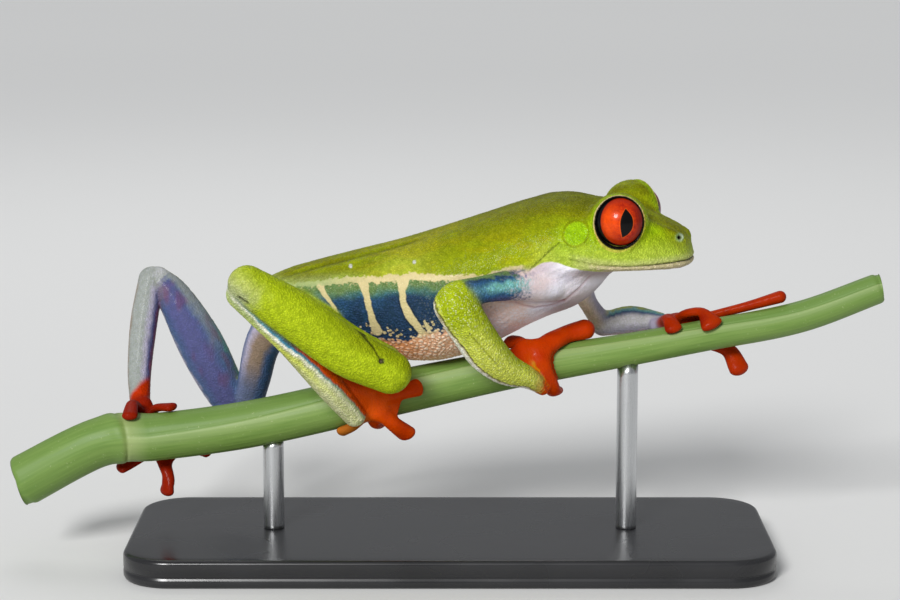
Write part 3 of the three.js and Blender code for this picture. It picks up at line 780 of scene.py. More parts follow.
class Skin:
    """The flesh's points with what the marks are worked out from."""

    def __init__(self, points, normals):
        self.points, self.normals = points, normals
        self.x, self.y, self.z = points.T
        self.s, self.t, self.h = to_head(*points.T)
        self.side = trunk_side(self.x, self.y)
        self.weights = self.share_out()
        self.body = self.weights["body"]
        self.mouth = np.interp(self.s, *np.array(MOUTH).T)  # the mouth line's height
        width = np.abs(self.t)
        self.drum = np.hypot(self.s - DRUM["middle"][0], self.h - DRUM["middle"][1])
        self.drum = np.where(width > 6, self.drum, FAR)  # how far from the eardrum's middle
        flat = np.hypot(self.s - NOSTRIL[0], self.h - NOSTRIL[1])
        self.nostril = np.hypot(flat, 0.6 * (width - NOSTRIL[2]))  # how far from the nearer one
        self.chest = np.clip(self.body + self.weights["upper_arm_right"], 0, 1) * step(1, -1, self.y)
        rear = step(-2, -7, self.x) * step(-27, -21, self.x)
        self.rump = self.body * rear * step(0.3, 0.8, normals[:, 2])

    def share_out(self):
        """How much each point belongs to the body and to each limb piece; the shares add up to 1."""
        found = {"body": np.minimum(trunk_distance(*self.points.T), skull_distance(*self.points.T))}
        for way in WAYS.values():
            lid = ball_distance(lid_middle(way), EYE["lid"])(*self.points.T)
            found["body"] = np.minimum(found["body"], lid)
        self.locals = {}
        for name, tube in tubes.items():
            low, high = tube_box(tube)
            near = np.flatnonzero(((self.points > low - 1.5) & (self.points < high + 1.5)).all(1))
            distance, along, offset = self.local(near, tube)
            found[name] = np.full(len(self.points), FAR)
            found[name][near] = distance
            self.locals[name] = near, along, offset
        nearest = np.min(list(found.values()), axis=0)
        shares = {name: np.exp(-(d - nearest) / 0.22) for name, d in found.items()}
        total = np.sum(list(shares.values()), axis=0)
        return {name: share / total for name, share in shares.items()}

    def local(self, some, tube):
        """For some points, the distance from a tube, the share of its length, and the offset in radii."""
        best = np.full(len(some), FAR)
        along = np.zeros(len(some))
        offset = np.zeros((len(some), 3))
        for i, u, parts, d in tube_segments(self.points[some].T, tube):
            closer = d < best
            best = np.where(closer, d, best)
            along = np.where(closer, (i + u) / (len(tube["line"]) - 1), along)
            wide = tube["wide"][i]
            offset = np.where(closer[:, None], np.stack(parts, -1) / wide, offset)
        return best, along, offset


def relief(skin):
    """How far each point moves out of the flesh, in millimetres."""
    points, x, z, s, h = skin.points, skin.x, skin.z, skin.s, skin.h
    out = np.zeros(len(points))
    on_head = skin.body * step(-9, -7.5, s)
    ahead = step(-7.2, -5.5, s)
    above = h - skin.mouth
    out -= 0.24 * hump(line_distance(s, h, MOUTH), 0.14) * ahead * on_head
    out += 0.09 * hump(above - 0.42, 0.3) * ahead * on_head
    out += 0.07 * hump(above + 0.45, 0.28) * ahead * on_head
    out += (0.1 * hump(skin.nostril - 0.5, 0.22) - 0.5 * hump(skin.nostril, 0.22)) * on_head
    edge = DRUM["radius"]
    out -= 0.09 * hump(skin.drum - edge, 0.12) + 0.05 * step(edge, edge - 0.5, skin.drum)
    out += 0.05 * hump(skin.drum - edge - 0.3, 0.2)
    out -= 0.2 * hump(line_distance(s, h, NECK_CREASE), 0.15) * skin.body * step(4, 6, -skin.t)
    out -= 0.3 * hump(np.abs(skin.side) - 2.7, 0.55) * skin.rump
    facing = step(0.1, -0.3, skin.normals[:, 1])
    pit = np.hypot(x - KNEE_CREASE[-1][0], z - KNEE_CREASE[-1][1])
    knee = skin.weights["shank_right"] * facing
    out -= (0.14 * hump(line_distance(x, z, KNEE_CREASE), 0.16) + 0.4 * hump(pit, 0.35)) * knee
    out -= 0.3 * hump(line_distance(x, z, HEEL_SLIT), 0.2) * facing * step(-10, -13, skin.y)
    ridge = line_distance(x, z, ARM_RIDGE)
    forearm = skin.weights["forearm_right"] * facing
    out += (0.12 * hump(ridge - 0.25, 0.2) - 0.12 * hump(ridge, 0.14)) * forearm
    armpit = facing * step(-13.5, -12, skin.y) * skin.chest
    for crease in ARM_CREASES:
        out -= 0.12 * hump(line_distance(x, z, crease), 0.2) * armpit
    out += 0.14 * fringe_share(skin)
    tops = belly_pebbles(points)[0]
    coarse = skin.belly * step(9, 2, x)
    out += (tops - 0.6) * (0.12 * coarse + 0.03 * skin.belly * (1 - coarse))
    first, second = pebbles(points, 0.34)
    out += 0.045 * (step(0, 0.14, second - first) - 0.5) * (skin.pebbled + 0.3 * skin.belly)
    folds = np.sin((z - x * 0.55 + 0.6 * rough(points, 2.5)) * 5.2)
    out += 0.025 * folds * skin.belly * step(3, 8, x) * step(0.3, -0.2, rough(points, 3.5))
    return out


def fringe_share(skin):
    """Where the pale fold of skin runs, along the lower edge of the near forearm."""
    near, along, offset = skin.locals["forearm_right"]
    share = np.zeros(len(skin.points))
    share[near] = hump(offset_across(offset, along) + 0.92, 0.12) * step(0.95, 0.8, along)
    return share * skin.weights["forearm_right"]


def offset_across(offset, along):
    """How far across the near forearm, from its lower edge at -1 to its upper edge at 1."""
    bend = step(0.1, 0.9, along)[:, None] * (-0.55, 0, 0.6)
    return np.sum(offset * unit(np.array(LIMB_PAINT["forearm_right"][0]) + bend), axis=1)


def belly_pebbles(points):
    """How much each point is on top of a pebble, and how far it is from the pebble's middle."""
    first, second = pebbles(points, 0.64)
    return step(0, 0.3, second - first), first


def over(colour, name, weight):
    """Paints a named colour over others."""
    colour += (COLOURS[name] - colour) * np.clip(weight, 0, 1)[:, None]


def paint_body(skin):
    points, x, z, s, h = skin.points, skin.x, skin.z, skin.s, skin.h
    side, width, top = np.abs(skin.side), np.abs(skin.t), skin.normals[:, 2]
    noise = functools.partial(rough, points)
    streaks, broad = noise((2.6, 0.9, 0.9)), noise(4)
    ragged = 0.22 * noise(0.5)
    colour = np.tile(COLOURS["lime"], (len(points), 1))
    lay = functools.partial(over, colour)
    lay("yellow_lime", 0.6 * step(-0.3, 0.8, streaks + broad))
    # Olive and deep olive laid where the back and the nape face up: painted shade.
    lay("olive", (0.8 + 0.3 * streaks) * step(0.1, 0.75, top) * step(10, 4, side))
    lay("deep_olive", (0.8 + 0.3 * streaks) * step(0.3, 0.95, top) * hump(x - 15, 11) * step(9, 2, side))
    lay("yellow_lime", 0.45 * step(-0.5, 0.6, streaks + broad) * step(0.1, 0.5, top) * hump(x + 2, 9))
    # More painted shade where the back faces up; arm lime where the skin turns sideways is painted light.
    lay("olive", 0.4 * step(0, 0.5, top) * step(-9, -3, x) * step(24, 18, x))
    lay("arm_lime", 0.3 * step(0.95, 0.6, top) * hump(x + 7, 4))
    lay("deep_olive", 0.6 * hump(side - 2.7 + 0.15 * broad, 0.4) * skin.rump)
    lay("pale_green", 0.5 * step(-8, -20, x) * step(1.6, 0.2, z - STRIPE(x)[0]))
    # The head.
    lay("bright_lime", 0.5 * step(-10, -7, s) * step(3.5, 5, width) * step(1, -1, h))
    lay("pale_lime", 0.8 * step(-1.5, -5.2, h) * step(-13, -9, s) * (1 + 0.2 * broad))
    lay("olive", 0.5 * step(4, 8, s) * step(-4.5, -2, h))
    lay("lip", 0.7 * step(1.3, 0.2, h - skin.mouth) * step(-7, -4, s))
    lay("bright_lime", 0.8 * step(DRUM["radius"], DRUM["radius"] - 0.4, skin.drum))
    lay("olive", 0.55 * hump(skin.drum - DRUM["radius"], 0.13))
    # The pale skin of throat, chest and belly.
    pale_skin = np.tile(COLOURS["chest"], (len(points), 1))
    over(pale_skin, "white", step(2, 13, x - 0.9 * (z - 38)) * (0.8 + 0.3 * noise(3)))
    over(pale_skin, "lavender", 0.6 * step(-0.3, 0.9, noise((4, 3, 2))) * step(8, 16, x))
    over(pale_skin, "pink", 0.4 * step(0, 0.8, noise((3, 2, 1))) * step(20, 12, x))
    # By which way the skin faces: the throat's near-white where it faces sideways is painted light, and the
    # colour where the chest faces down is painted shade.
    over(pale_skin, "throat", 0.9 * step(-0.75, -0.3, top) * step(13, 18, x))
    over(pale_skin, "chest_underside_shade", 0.7 * step(-0.5, -0.85, top) * step(12, 16, x))
    skin.pale = pale_skin
    throat = step(-0.1, 0.1, PALE_EDGE(s)[0] - h + 0.35 * ragged)
    neck = colour + (pale_skin - colour) * throat[:, None]
    low_lip = step(-3.4, -1, s + 6 * ragged) * step(0.05, -0.1, h - skin.mouth)
    over(neck, "lip_low", low_lip * step(-0.15, 0.05, h - PALE_EDGE(s)[0]))
    # The flank.
    stripe, half = STRIPE(x)
    border = BORDER(x)[0]
    below = step(-0.1, 0.1, stripe - z + 0.5 * ragged)
    depth = stripe - half - z
    panel = np.tile(COLOURS["navy"], (len(points), 1))
    over(panel, "blue", 0.75 * step(-0.5, 0.7, noise(1.6) - 0.2 * (x + 11)) * step(1, 2.5, depth))
    over(panel, "teal", 0.7 * step(2.5, 1, depth + 0.5 * noise(1.4)))
    over(panel, "moss", step(2.2, 0.6, depth + 0.6 * noise(1.1)))
    dots, _ = pebbles(points, 0.36)
    over(panel, "grey", 0.5 * step(0.13, 0.07, dots) * step(-6, -1, x))
    over(panel, "cream", 0.6 * step(0.16, 0.1, dots) * step(0.7, 0.1, depth + 0.4 * ragged))
    colour += (panel - colour) * below[:, None]
    tops, first = belly_pebbles(points)
    flesh = np.tile(COLOURS["belly_low"], (len(points), 1))
    over(flesh, "belly_top", tops)
    over(flesh, "belly_orange", 0.75 * hump(x + 8, 4.2) * step(34.5, 32.5, z) * (1 - 0.5 * tops))
    over(flesh, "cream", 0.7 * step(1.1, 0.2, border - z))
    flesh += (pale_skin - flesh) * (step(0, 5, x) * (0.95 - 0.3 * (1 - tops)))[:, None]
    ripple = border - z + 2.3 * (step(0.34, 0.14, first) - 0.4) + 0.6 * noise(1.3)
    feet = np.min([np.hypot(x - rows[-1][0], z - rows[-1][1] - 0.2) for rows in BARS], axis=0)
    ripple += 1.1 * hump(feet, 0.9)
    belly = below * step(-0.15, 0.15, np.where(x > 4, border - z + 0.2, ripple))
    colour += (flesh - colour) * belly[:, None]
    bars = np.min([line_distance(x, z, rows) for rows in BARS], axis=0)
    pale = below * step(0.07, -0.07, bars + 0.4 * ragged) * step(-0.1, 0.3, z - border + 0.4)
    lay("black", 0.4 * below * hump(bars - 0.15, 0.14) * step(2, 3.2, depth) * (1 - belly))
    lay("cream", pale)
    wander = 0.1 * noise(1.3)
    granular = ragged + 0.2 * noise(0.25)
    band = step(half + 0.12, half - 0.12, np.abs(z - stripe + wander) + granular)
    lay("pale_green", 0.8 * band * step(-10, -16, x))
    lay("cream", band * step(-21, -10, x))
    smooth = np.maximum.reduce([belly * step(1, 5, x), 0.8 * pale, 0.8 * band])
    on_neck = step(-13, -12, s)
    colour += (neck - colour) * on_neck[:, None]
    skin.smooth = (smooth + (throat - smooth) * on_neck) * skin.body
    under = below * step(-0.12, 0.12, border - z)
    skin.belly = (under + (throat - under) * on_neck) * skin.body
    for spot in SPOTS:
        lay("white", step(0.3, 0.16, np.hypot(x - spot[0], z - spot[1])) * step(0, -1, skin.side))
    # Nostrils, lines and creases.
    near_side = step(2, -2, skin.t)
    lay("turquoise", 0.3 * near_side * hump(skin.nostril - 0.42, 0.2))
    lay("white", 0.3 * near_side * hump(skin.nostril - 0.42, 0.14) * step(-0.2, 0.3, s - NOSTRIL[0]))
    # Painted shade: black in the nostrils.
    lay("black", step(0.36, 0.22, skin.nostril) * (0.3 + 0.7 * near_side))
    # Painted shade: dark lines along the mouth, the neck crease and the creases between arm and chest.
    mouth_line = step(-7, -5.5, s) * step(0.14, 0.05, line_distance(s, h, MOUTH))
    lay("line", mouth_line * (0.2 + 0.35 * step(-5, 0, s) + 0.4 * step(2, 7, s)))
    lay("line", 0.6 * step(0.13, 0.05, line_distance(s, h, NECK_CREASE)) * step(4, 6, -skin.t))
    for crease in ARM_CREASES:
        lay("deep_red", 0.35 * skin.chest * hump(line_distance(x, z, crease), 0.17))
    for way in WAYS.values():
        _, out, front, up = eye_frame(way, LID_AXIS)
        offset = unit(points - lid_middle(way))
        length = np.linalg.norm(points - lid_middle(way), axis=1)
        high = offset @ up - 0.4 * (offset @ front)
        away = np.hypot(offset @ front / LID_OVAL[0], offset @ up / LID_OVAL[1])
        ring = np.degrees(np.arctan2(away, offset @ out) - LID_OPENING[way])
        near = step(5.2, 4.6, length)
        lay("bright_lime", 0.45 * near * step(20, 8, ring) * step(-0.9, 0.3, high))
        # Painted shade in the groove just outside the lid's rim.
        lay("olive", 0.5 * near * hump(ring - 5.6, 1.3))
        edge = near * step(2.4, 1.5, ring)
        lay("gold", edge * (0.45 + 0.55 * step(-0.7, 0.1, high)))
        lay("cream", 0.8 * edge * step(-0.3, 0.4, high))
        lay("black", near * step(-0.2, -1.4, ring))
    return colour


# How each limb is painted across its width, as seen from its outer side: the direction that counts as
# up, the colours from the lower edge to the upper one with their places, and the same for the inner side.
LIMB_PAINT = {
    "thigh_right": ((0.4, 0, 0.9), "-1 lime, 1 lime", "-1 blue, 0 tan, 1 navy"),
    "shank_right": (
        (0.56, 0, 0.83), "-1 limb_lime, 0.4 limb_lime, 1 lime",
        "-1 cream, -0.7 turquoise, -0.3 violet, 0.5 violet, 1 cream",
    ),
    "tarsus_right": (
        (0.78, 0, 0.62),
        "-1 lip, -0.6 lip, -0.2 arm_lime, 0.06 lip, 0.22 fringe, 0.3 fringe, 0.4 sky, 0.58 blue, 0.74 navy",
        "-1 lip, -0.5 turquoise, -0.2 violet, 0.1 deep_red, 1 red",
    ),
    "thigh_left": (
        (0.93, 0, -0.36), "-1 lime, 1 lime",
        "-1 dusk, -0.75 lavender, -0.4 tan, 0.2 tan, 0.5 dusk, 0.75 blue, 1 navy",
    ),
    "shank_left": (
        (0.85, 0, 0.5), "-1 lime, 1 lime",
        "-1 lavender, -0.8 dusk, -0.3 violet, 0.3 violet, 0.7 dusk, 0.9 dusk, 1 teal",
    ),
    "tarsus_left": (
        (1, 0, 0), "-1 lime, 1 lime", "-1 tan, -0.75 grey, 0.15 grey, 0.5 lavender, 0.78 violet, 1 plum",
    ),
    # On the near upper arm the turquoise band along the middle of the blue is a painted highlight, and the
    # navy at both edges is painted shade.
    "upper_arm_right": (
        (0, 0, 1),
        "-1 navy, -0.75 violet, -0.4 blue, 0.1 turquoise, 0.35 turquoise, 0.6 blue, 0.85 navy, 1 moss",
        "-1 pink, 1 navy",
    ),
    "forearm_right": (
        (0.93, 0, 0.36),
        "-1 fringe, -0.82 fringe, -0.76 lip_low, -0.71 deep_olive, -0.64 arm_lime, 0.4 arm_lime, 1 lime",
        "-1 fringe, -0.6 turquoise, 0 blue, 1 lavender",
    ),
    "upper_arm_left": (
        (1, 0, 0.4), "-1 lime, 1 lime", "-1 belly_top, -0.2 belly_top, 0.7 lavender, 1 lavender",
    ),
    "forearm_left": (
        (0.1, 0, 1), "-1 lime, 1 lime",
        "-1 pink, -0.6 lavender, 0 white, 0.45 white, 0.68 dusk, 0.83 turquoise, 0.92 pale_green,"
        " 1 pale_lime",
    ),
}


def across_colours(stops, place):
    """The colours at places across a limb, between stops such as "-1 lime, 1 moss"."""
    places, names = zip(*(stop.split() for stop in stops.split(", ")))
    values = np.array([COLOURS[name] for name in names])
    return np.stack([np.interp(place, np.array(places, float), values[:, k]) for k in range(3)], -1)


def paint_limb(skin, name):
    """Colours for the points near one limb piece."""
    near, along, offset = skin.locals[name]
    points = skin.points[near]
    noise = functools.partial(rough, points)
    way = -1 if "right" in name else 1
    if name not in LIMB_PAINT:
        colour = np.tile(COLOURS["red"], (len(near), 1))
        lay = functools.partial(over, colour)
        lay("orange", 0.5 + 0.4 * noise(1.6))
        # Painted shade: the far hand and foot with their digits are darker red, and the near hand and
        # fingers a little darker too.
        dark = (1.05 if name.startswith(("foot", "toe")) else 0.65) * (way > 0)
        lay("deep_red", 0.35 * step(0.3, 0.9, noise(2.2)) + dark)
        lay("deep_red", np.full(len(near), 0.3 * (name.startswith(("hand", "finger")) and way < 0)))
        if name == "toe_right_5":
            lay("brown", np.full(len(near), 0.75))
        if name == "finger_right_4":
            outer = -0.8 * offset[:, 0] - 0.5 * offset[:, 2] + 0.2 * noise(0.5)
            lay("yellow_lime", step(0.15, 0.5, outer) * step(0.5, 0.3, along))
        if name == "hand_left":
            lay("lavender", step(31.6, 30.8, points[:, 0] + 0.5 * noise(0.6)))
        if name == "foot_right":
            # Painted light: brighter orange on the near foot where the shank shades it.
            lay("bright_orange", 0.7 * step(0.4, 0.8, along))
        return colour
    up, outer, inner = LIMB_PAINT[name]
    place = offset @ unit(up) + 0.1 * noise(0.9)
    facing = offset[:, 1] * way
    if name == "tarsus_right":
        place = place + 0.15 + 0.5 * step(0.65, 0.35, along) - 0.3 * step(0.5, 0.9, along)
    if name == "forearm_right":
        place = offset_across(offset, along) + 0.05 * noise(0.5) + 0.12 * step(0.25, 0, along)
    outside = across_colours(outer, place)
    inside = across_colours(inner, place)
    outer_share = step(-0.35, -0.15, facing - 0.35 * (way > 0))
    colour = inside + (outside - inside) * outer_share[:, None]
    lay = functools.partial(over, colour)
    skin.smooth[near] = np.maximum(skin.smooth[near], 0.6 * (1 - outer_share) * skin.weights[name][near])
    if name == "tarsus_right":
        lay("lip", 0.8 * step(0.5, 0.85, along) * hump(place - 0.38, 0.2))
        lay("mint", 0.6 * step(0.5, 0.1, along) * step(0.25, 0.1, place))
        lay("lip", 0.75 * step(0.5, 0.9, along) * step(0.3, 0.1, place))
        lay("fringe", 0.25 * step(0.5, 0.8, along) * step(0.3, 0.1, place))
        lay("red", step(0.46, 0.56, along) * step(0.52, 0.64, place))
        # Painted light: brighter orange on the red inner side of the near tarsus, where it lies in shade.
        lay("bright_orange", 0.7 * step(0.5, 0.6, along) * step(0.52, 0.62, place))
    if name == "upper_arm_right":
        fine = 0.06 * noise(0.8) + 0.1 * noise(0.2)
        pale = step(0.48, 0.2, along + fine)
        colour += (skin.pale[near] - colour) * pale[:, None]
        lay("blue", 0.75 * step(0.6, 0.8, along + fine) * step(0.8, 0.5, place))
        high = step(0.1, 0.6, place)
        lay("violet", 0.8 * high * step(0.12, 0.3, along) * pale * step(-0.1, 0.4, noise(0.35)))
        lay("moss", 0.6 * step(0.15, 0.6, noise(0.5)) * step(0.4, 0.8, place) * (1 - pale))
        lay("lime", step(0.95, 1, along))
        skin.smooth[near] = np.maximum(skin.smooth[near], pale * skin.weights[name][near])
    if name == "shank_right":
        crease = line_distance(points[:, 0], points[:, 2], KNEE_CREASE)
        pit = np.hypot(points[:, 0] - KNEE_CREASE[-1][0], points[:, 2] - KNEE_CREASE[-1][1])
        turned = step(-0.5, -0.2, facing)
        lay("olive", 0.4 * turned * step(0.35, 0.75, place) * step(0.6, 0.3, along))
        # Painted shade: a dark line in the knee crease and black in its pit.
        lay("line", 0.85 * turned * step(0.15, 0.05, crease))
        lay("black", 0.9 * turned * step(0.48, 0.36, pit))
        lay("tan", 0.6 * turned * hump(pit, 0.2))
        heel = step(0.8, 1.02, along + 0.06 * noise(1))
        lay("lip", 0.55 * heel * step(0.9, 0, place))
        lay("grey", 0.45 * heel * step(0.3, -0.6, place))
    if name in ("shank_right", "tarsus_right"):
        slit = line_distance(points[:, 0], points[:, 2], HEEL_SLIT)
        # Painted shade: black in the slit at the right heel.
        lay("black", 0.8 * step(0.2, 0.08, slit) * step(-0.1, 0.1, facing))
    if name == "tarsus_left":
        lay("grey", 0.9 * step(0.1, 0.02, along) * (1 - 0.8 * outer_share))
        lay("red", step(0.83, 0.93, along + 0.12 * place))
    if name == "shank_left":
        lay("grey", 0.85 * step(0.3, 0.8, along) * step(0.4, 0.8, place) * (1 - outer_share))
        lay("tan", 0.4 * step(0.7, 0.85, along) * step(0.3, -0.3, place))
        blotches = step(0, 0.7, noise((1, 1, 3))) * step(-0.6, -0.2, place)
        lay("deep_red", 0.22 * blotches * (1 - outer_share))
        lay("grey", step(0.86, 0.95, along) * (1 - 0.8 * outer_share))
        lay("white", 0.45 * step(0.9, 1, along) * (1 - outer_share))
    if name == "thigh_left":
        lay("dusk", 0.8 * step(0.4, 0.75, along) * (1 - outer_share))
    if name == "forearm_right":
        inward = step(-0.66, -0.5, place)
        lay("limb_lime", step(0.35, 0.05, along) * inward)
        # Painted shade in the fold along the forearm's ridge and between its granules, and pale specks as
        # painted highlights on the granules.
        lay("olive", 0.5 * hump(line_distance(points[:, 0], points[:, 2], ARM_RIDGE), 0.13))
        first, second = pebbles(points, 0.32)
        lay("olive", 0.3 * step(0.1, 0, second - first) * outer_share * inward)
        pale_glints = 0.45 + 0.35 * step(0.3, 0.05, along)
        lay("fringe", pale_glints * step(0.1, 0.04, first) * outer_share)
        toward_hand = along + 0.05 * noise(0.4)
        lay("gold", 0.65 * step(0.74, 0.88, toward_hand + 0.06 * place) * outer_share)
        lay("orange", step(0.87, 0.99, toward_hand + 0.04 * place))
        lay("orange", step(0.45, 0.6, toward_hand) * (1 - outer_share))
    return colour


def paint(skin):
    colour = paint_body(skin) * skin.weights["body"][:, None]
    for name in tubes:
        near = skin.locals[name][0]
        colour[near] += paint_limb(skin, name) * skin.weights[name][near, None]
    return colour


def build_flesh():
    field = flesh_field()
    points, faces = surface_net(field)
    points = field.settle(points)
    points, faces = refine(points, faces, is_fine(points[faces].mean(1)))
    points = field.settle(points)
    skin = Skin(points, unit(field.slope(points)))
    colour = paint(skin)
    red = np.sum([skin.weights[name] for name in tubes if name not in LIMBS], axis=0)
    skin.pebbled = np.clip(1 - red - skin.smooth - 0.8 * skin.belly, 0, 1)
    numbers = {"red": red, "pebbled": skin.pebbled, "smooth": np.clip(skin.smooth + red, 0, 1)}
    return points + skin.normals * relief(skin)[:, None], faces, colour, numbers


def is_fine(places):
    """The places that need a mesh of half the size: the head, the flanks and the near arm."""
    x, y, z = places.T
    s, t, h = to_head(x, y, z)
    head = (s > -9.5) & (h > -8)
    side = np.abs(trunk_side(x, y))
    flank = (x > -20) & (x < 12) & (side > 2.5) & (side < 10) & (z < STRIPE(x)[0] + 1.2) & (z > 28)
    arm = (x > -3) & (x < 15) & (y < -3.5) & (z > 23.5)
    return head | flank | arm


def mesh_object(name, points, faces, numbers=None, colour=None):
    """A mesh in metres from points in millimetres; numbers are named values for its points."""
    mesh = bpy.data.meshes.new(name)
    faces = np.asarray(faces)
    mesh.vertices.add(len(points))
    mesh.vertices.foreach_set("co", (np.asarray(points) * MM).astype(np.float32).ravel())
    size = faces.shape[1]
    mesh.loops.add(faces.size)
    mesh.loops.foreach_set("vertex_index", faces.astype(np.int32).ravel())
    mesh.polygons.add(len(faces))
    mesh.polygons.foreach_set("loop_start", np.arange(0, faces.size, size, dtype=np.int32))
    mesh.polygons.foreach_set("loop_total", np.full(len(faces), size, np.int32))
    mesh.update(calc_edges=True)
    mesh.shade_smooth()
    for key, values in (numbers or {}).items():
        mesh.attributes.new(key, "FLOAT", "POINT").data.foreach_set("value", np.asarray(values, np.float32))
    if colour is not None:
        paint_layer = mesh.attributes.new("paint", "FLOAT_COLOR", "POINT")
        full = np.ones((len(points), 4), np.float32)
        full[:, :3] = np.clip(colour, 0, 1)
        paint_layer.data.foreach_set("color", full.ravel())
    made = bpy.data.objects.new(name, mesh)
    bpy.context.scene.collection.objects.link(made)
    return made


# ---------------------------------------------------------------- the eyes

IRIS = 3.05  # mean radius, seen along its axis
IRIS_OVAL = (0.945, 1.06)
# The pupil: height, its rear edge and its front edge, ahead of the iris's middle.
PUPIL = through(
    [
        (-2.2, 0, 0.12), (-1.8, -0.12, 0.75), (-1.1, -0.28, 1.3), (-0.2, -0.34, 1.48),
        (0.6, -0.18, 1.34), (1.2, 0.1, 0.97), (1.75, 0.44, 0.5),
    ]
)


def build_eye(name, way):
    """An eyeball with a slightly raised front, and the numbers that its iris and pupil are drawn from."""
    middle, out, front, up = eye_frame(way, EYE_AXIS)
    rings, sides = 72, 96
    bend = np.linspace(0, math.radians(118), rings + 1)[1:]
    turn = np.linspace(0, 2 * math.pi, sides, endpoint=False)
    radius = EYE["radius"] * (1 + 0.012 * hump(bend, 0.5) - 0.006 * hump(bend - 0.86, 0.08))
    across = (radius * np.sin(bend))[:, None]
    u, v = across * np.cos(turn), across * np.sin(turn)
    along = np.repeat((radius * np.cos(bend))[:, None], sides, 1)
    points = middle + along[..., None] * out + u[..., None] * front + v[..., None] * up
    tip = middle + out * EYE["radius"] * 1.012
    back = middle + out * EYE["radius"] * math.cos(bend[-1])
    points = np.vstack([tip, points.reshape(-1, 3), back])
    u, v = (np.concatenate([[0], values.ravel(), [0]]) for values in (u, v))
    inside = np.concatenate([[1], np.repeat(np.cos(bend) > 0, sides), [0]])
    faces = ring_faces(rings, sides, way < 0)
    rear, ahead = PUPIL(v)
    pupil = np.minimum(u - rear, ahead - u)
    pupil = np.minimum(pupil, np.minimum(v + 2.2, 1.75 - v))
    away = np.hypot(u / IRIS_OVAL[0], v / IRIS_OVAL[1])
    away = np.where(inside > 0, away, 2 * EYE["radius"] - away)
    numbers = {"pupil": pupil, "away": away, "turn_u": u, "turn_v": v}
    return mesh_object(name, points, faces, numbers)


def ring_faces(rings, sides, flip):
    """Triangles over rings of points after a first tip, with a last tip."""
    i = np.arange(sides)
    j = (i + 1) % sides
    last = rings * sides + 1
    faces = [np.stack([0 * i, 1 + i, 1 + j], -1)]
    for a in range(1, last - sides, sides):
        b = a + sides
        faces += [np.stack([a + i, b + i, b + j], -1), np.stack([a + i, b + j, a + j], -1)]
    a = last - sides
    faces.append(np.stack([a + i, 0 * i + last, a + j], -1))
    faces = np.vstack(faces)
    return faces[:, ::-1] if flip else faces


# ---------------------------------------------------------------- the stem and the stand

# The raised edge of the leaf sheath that wraps the stem: X, degrees from the top towards the left.
SHEATH_EDGE = through([(-47, -78), (-23, -64), (-5, -52), (17, -42), (50, -60), (62, -64)])
NODE = -47.6


def beyond_sheath(x, degrees):
    """How far round the stem, in millimetres, a place is past the sheath's edge."""
    return (degrees - SHEATH_EDGE(x)[0]) * math.pi / 180 * 3


def beyond_node(x, degrees):
    return x - NODE - 1.3 * np.cos(np.radians(degrees + 100))


def build_stem(name):
    """Rings of points from the middle of one cut end to the middle of the other."""
    rings, sides, cap_rings = 560, 120, 12
    starts, stops = STEM[0][0], STEM[-1][0]
    x = np.linspace(starts, stops, rings)[:, None]
    turn = np.linspace(-180, 180, sides, endpoint=False)[None, :]
    flat = np.stack(np.broadcast_arrays(x * 0.02, turn * 0.05, turn * 0), -1).reshape(-1, 3)
    wide = rough(flat + (3.1, 0, 0), (1.0, 0.55, 1)).reshape(rings, sides)
    fine = rough(flat + (7.7, 0, 0), (1.4, 0.22, 1)).reshape(rings, sides)
    beyond, slant = beyond_sheath(x, turn), beyond_node(x, turn)
    lift = -0.05 + 0.03 * wide + 0.022 * fine
    lift += step(NODE, NODE + 3, x) * (0.1 * step(-0.15, 0.1, -beyond) - 0.06 * hump(beyond - 0.12, 0.16))
    lift += 0.22 * hump(slant + 0.6, 1.1) - 0.12 * hump(slant - 0.2, 0.22)
    lift -= 0.35 * (hump(x - starts, 0.35) + hump(x - stops, 0.35))
    side = on_stem(np.broadcast_to(x, lift.shape), np.broadcast_to(turn, lift.shape), lift)
    shares = np.linspace(0.06, 0.94, cap_rings)
    caps = []
    for end, way in ((starts, 1), (stops, -1)):
        radius = stem_frame(end)[1]
        caps.append([on_stem(np.full(sides, end), turn[0], (q - 1) * radius - 0.12) for q in shares[::way]])
    points = np.concatenate([caps[0], side, caps[1]])
    count = len(points)
    along, degrees = points[..., 0], np.broadcast_to(turn, (count, sides))
    cut = np.zeros((count, sides))
    cut[:cap_rings] = cut[-cap_rings:] = 1
    # Each number on the rings, and at the middle of the first end and of the last.
    numbers = {
        "cut": (cut, 1, 1),
        "along": (along * MM, 0, 0),
        "round_cos": (np.cos(np.radians(degrees)) * 3 * MM, 0, 0),
        "round_sin": (np.sin(np.radians(degrees)) * 3 * MM, 0, 0),
        "sheath": (beyond_sheath(along, degrees), 9, 9),
        "node": (beyond_node(along, degrees), -20, 90),
        "inward": (np.hypot(points[..., 1], points[..., 2] - stem_frame(along)[0]), 0, 0),
    }
    numbers = {key: np.concatenate([[low], on.ravel(), [high]]) for key, (on, low, high) in numbers.items()}
    tips = [(end, 0, stem_frame(end)[0]) for end in (starts, stops)]
    points = np.vstack([tips[0], points.reshape(-1, 3), tips[1]])
    return mesh_object(name, points, ring_faces(count, sides, False), numbers)


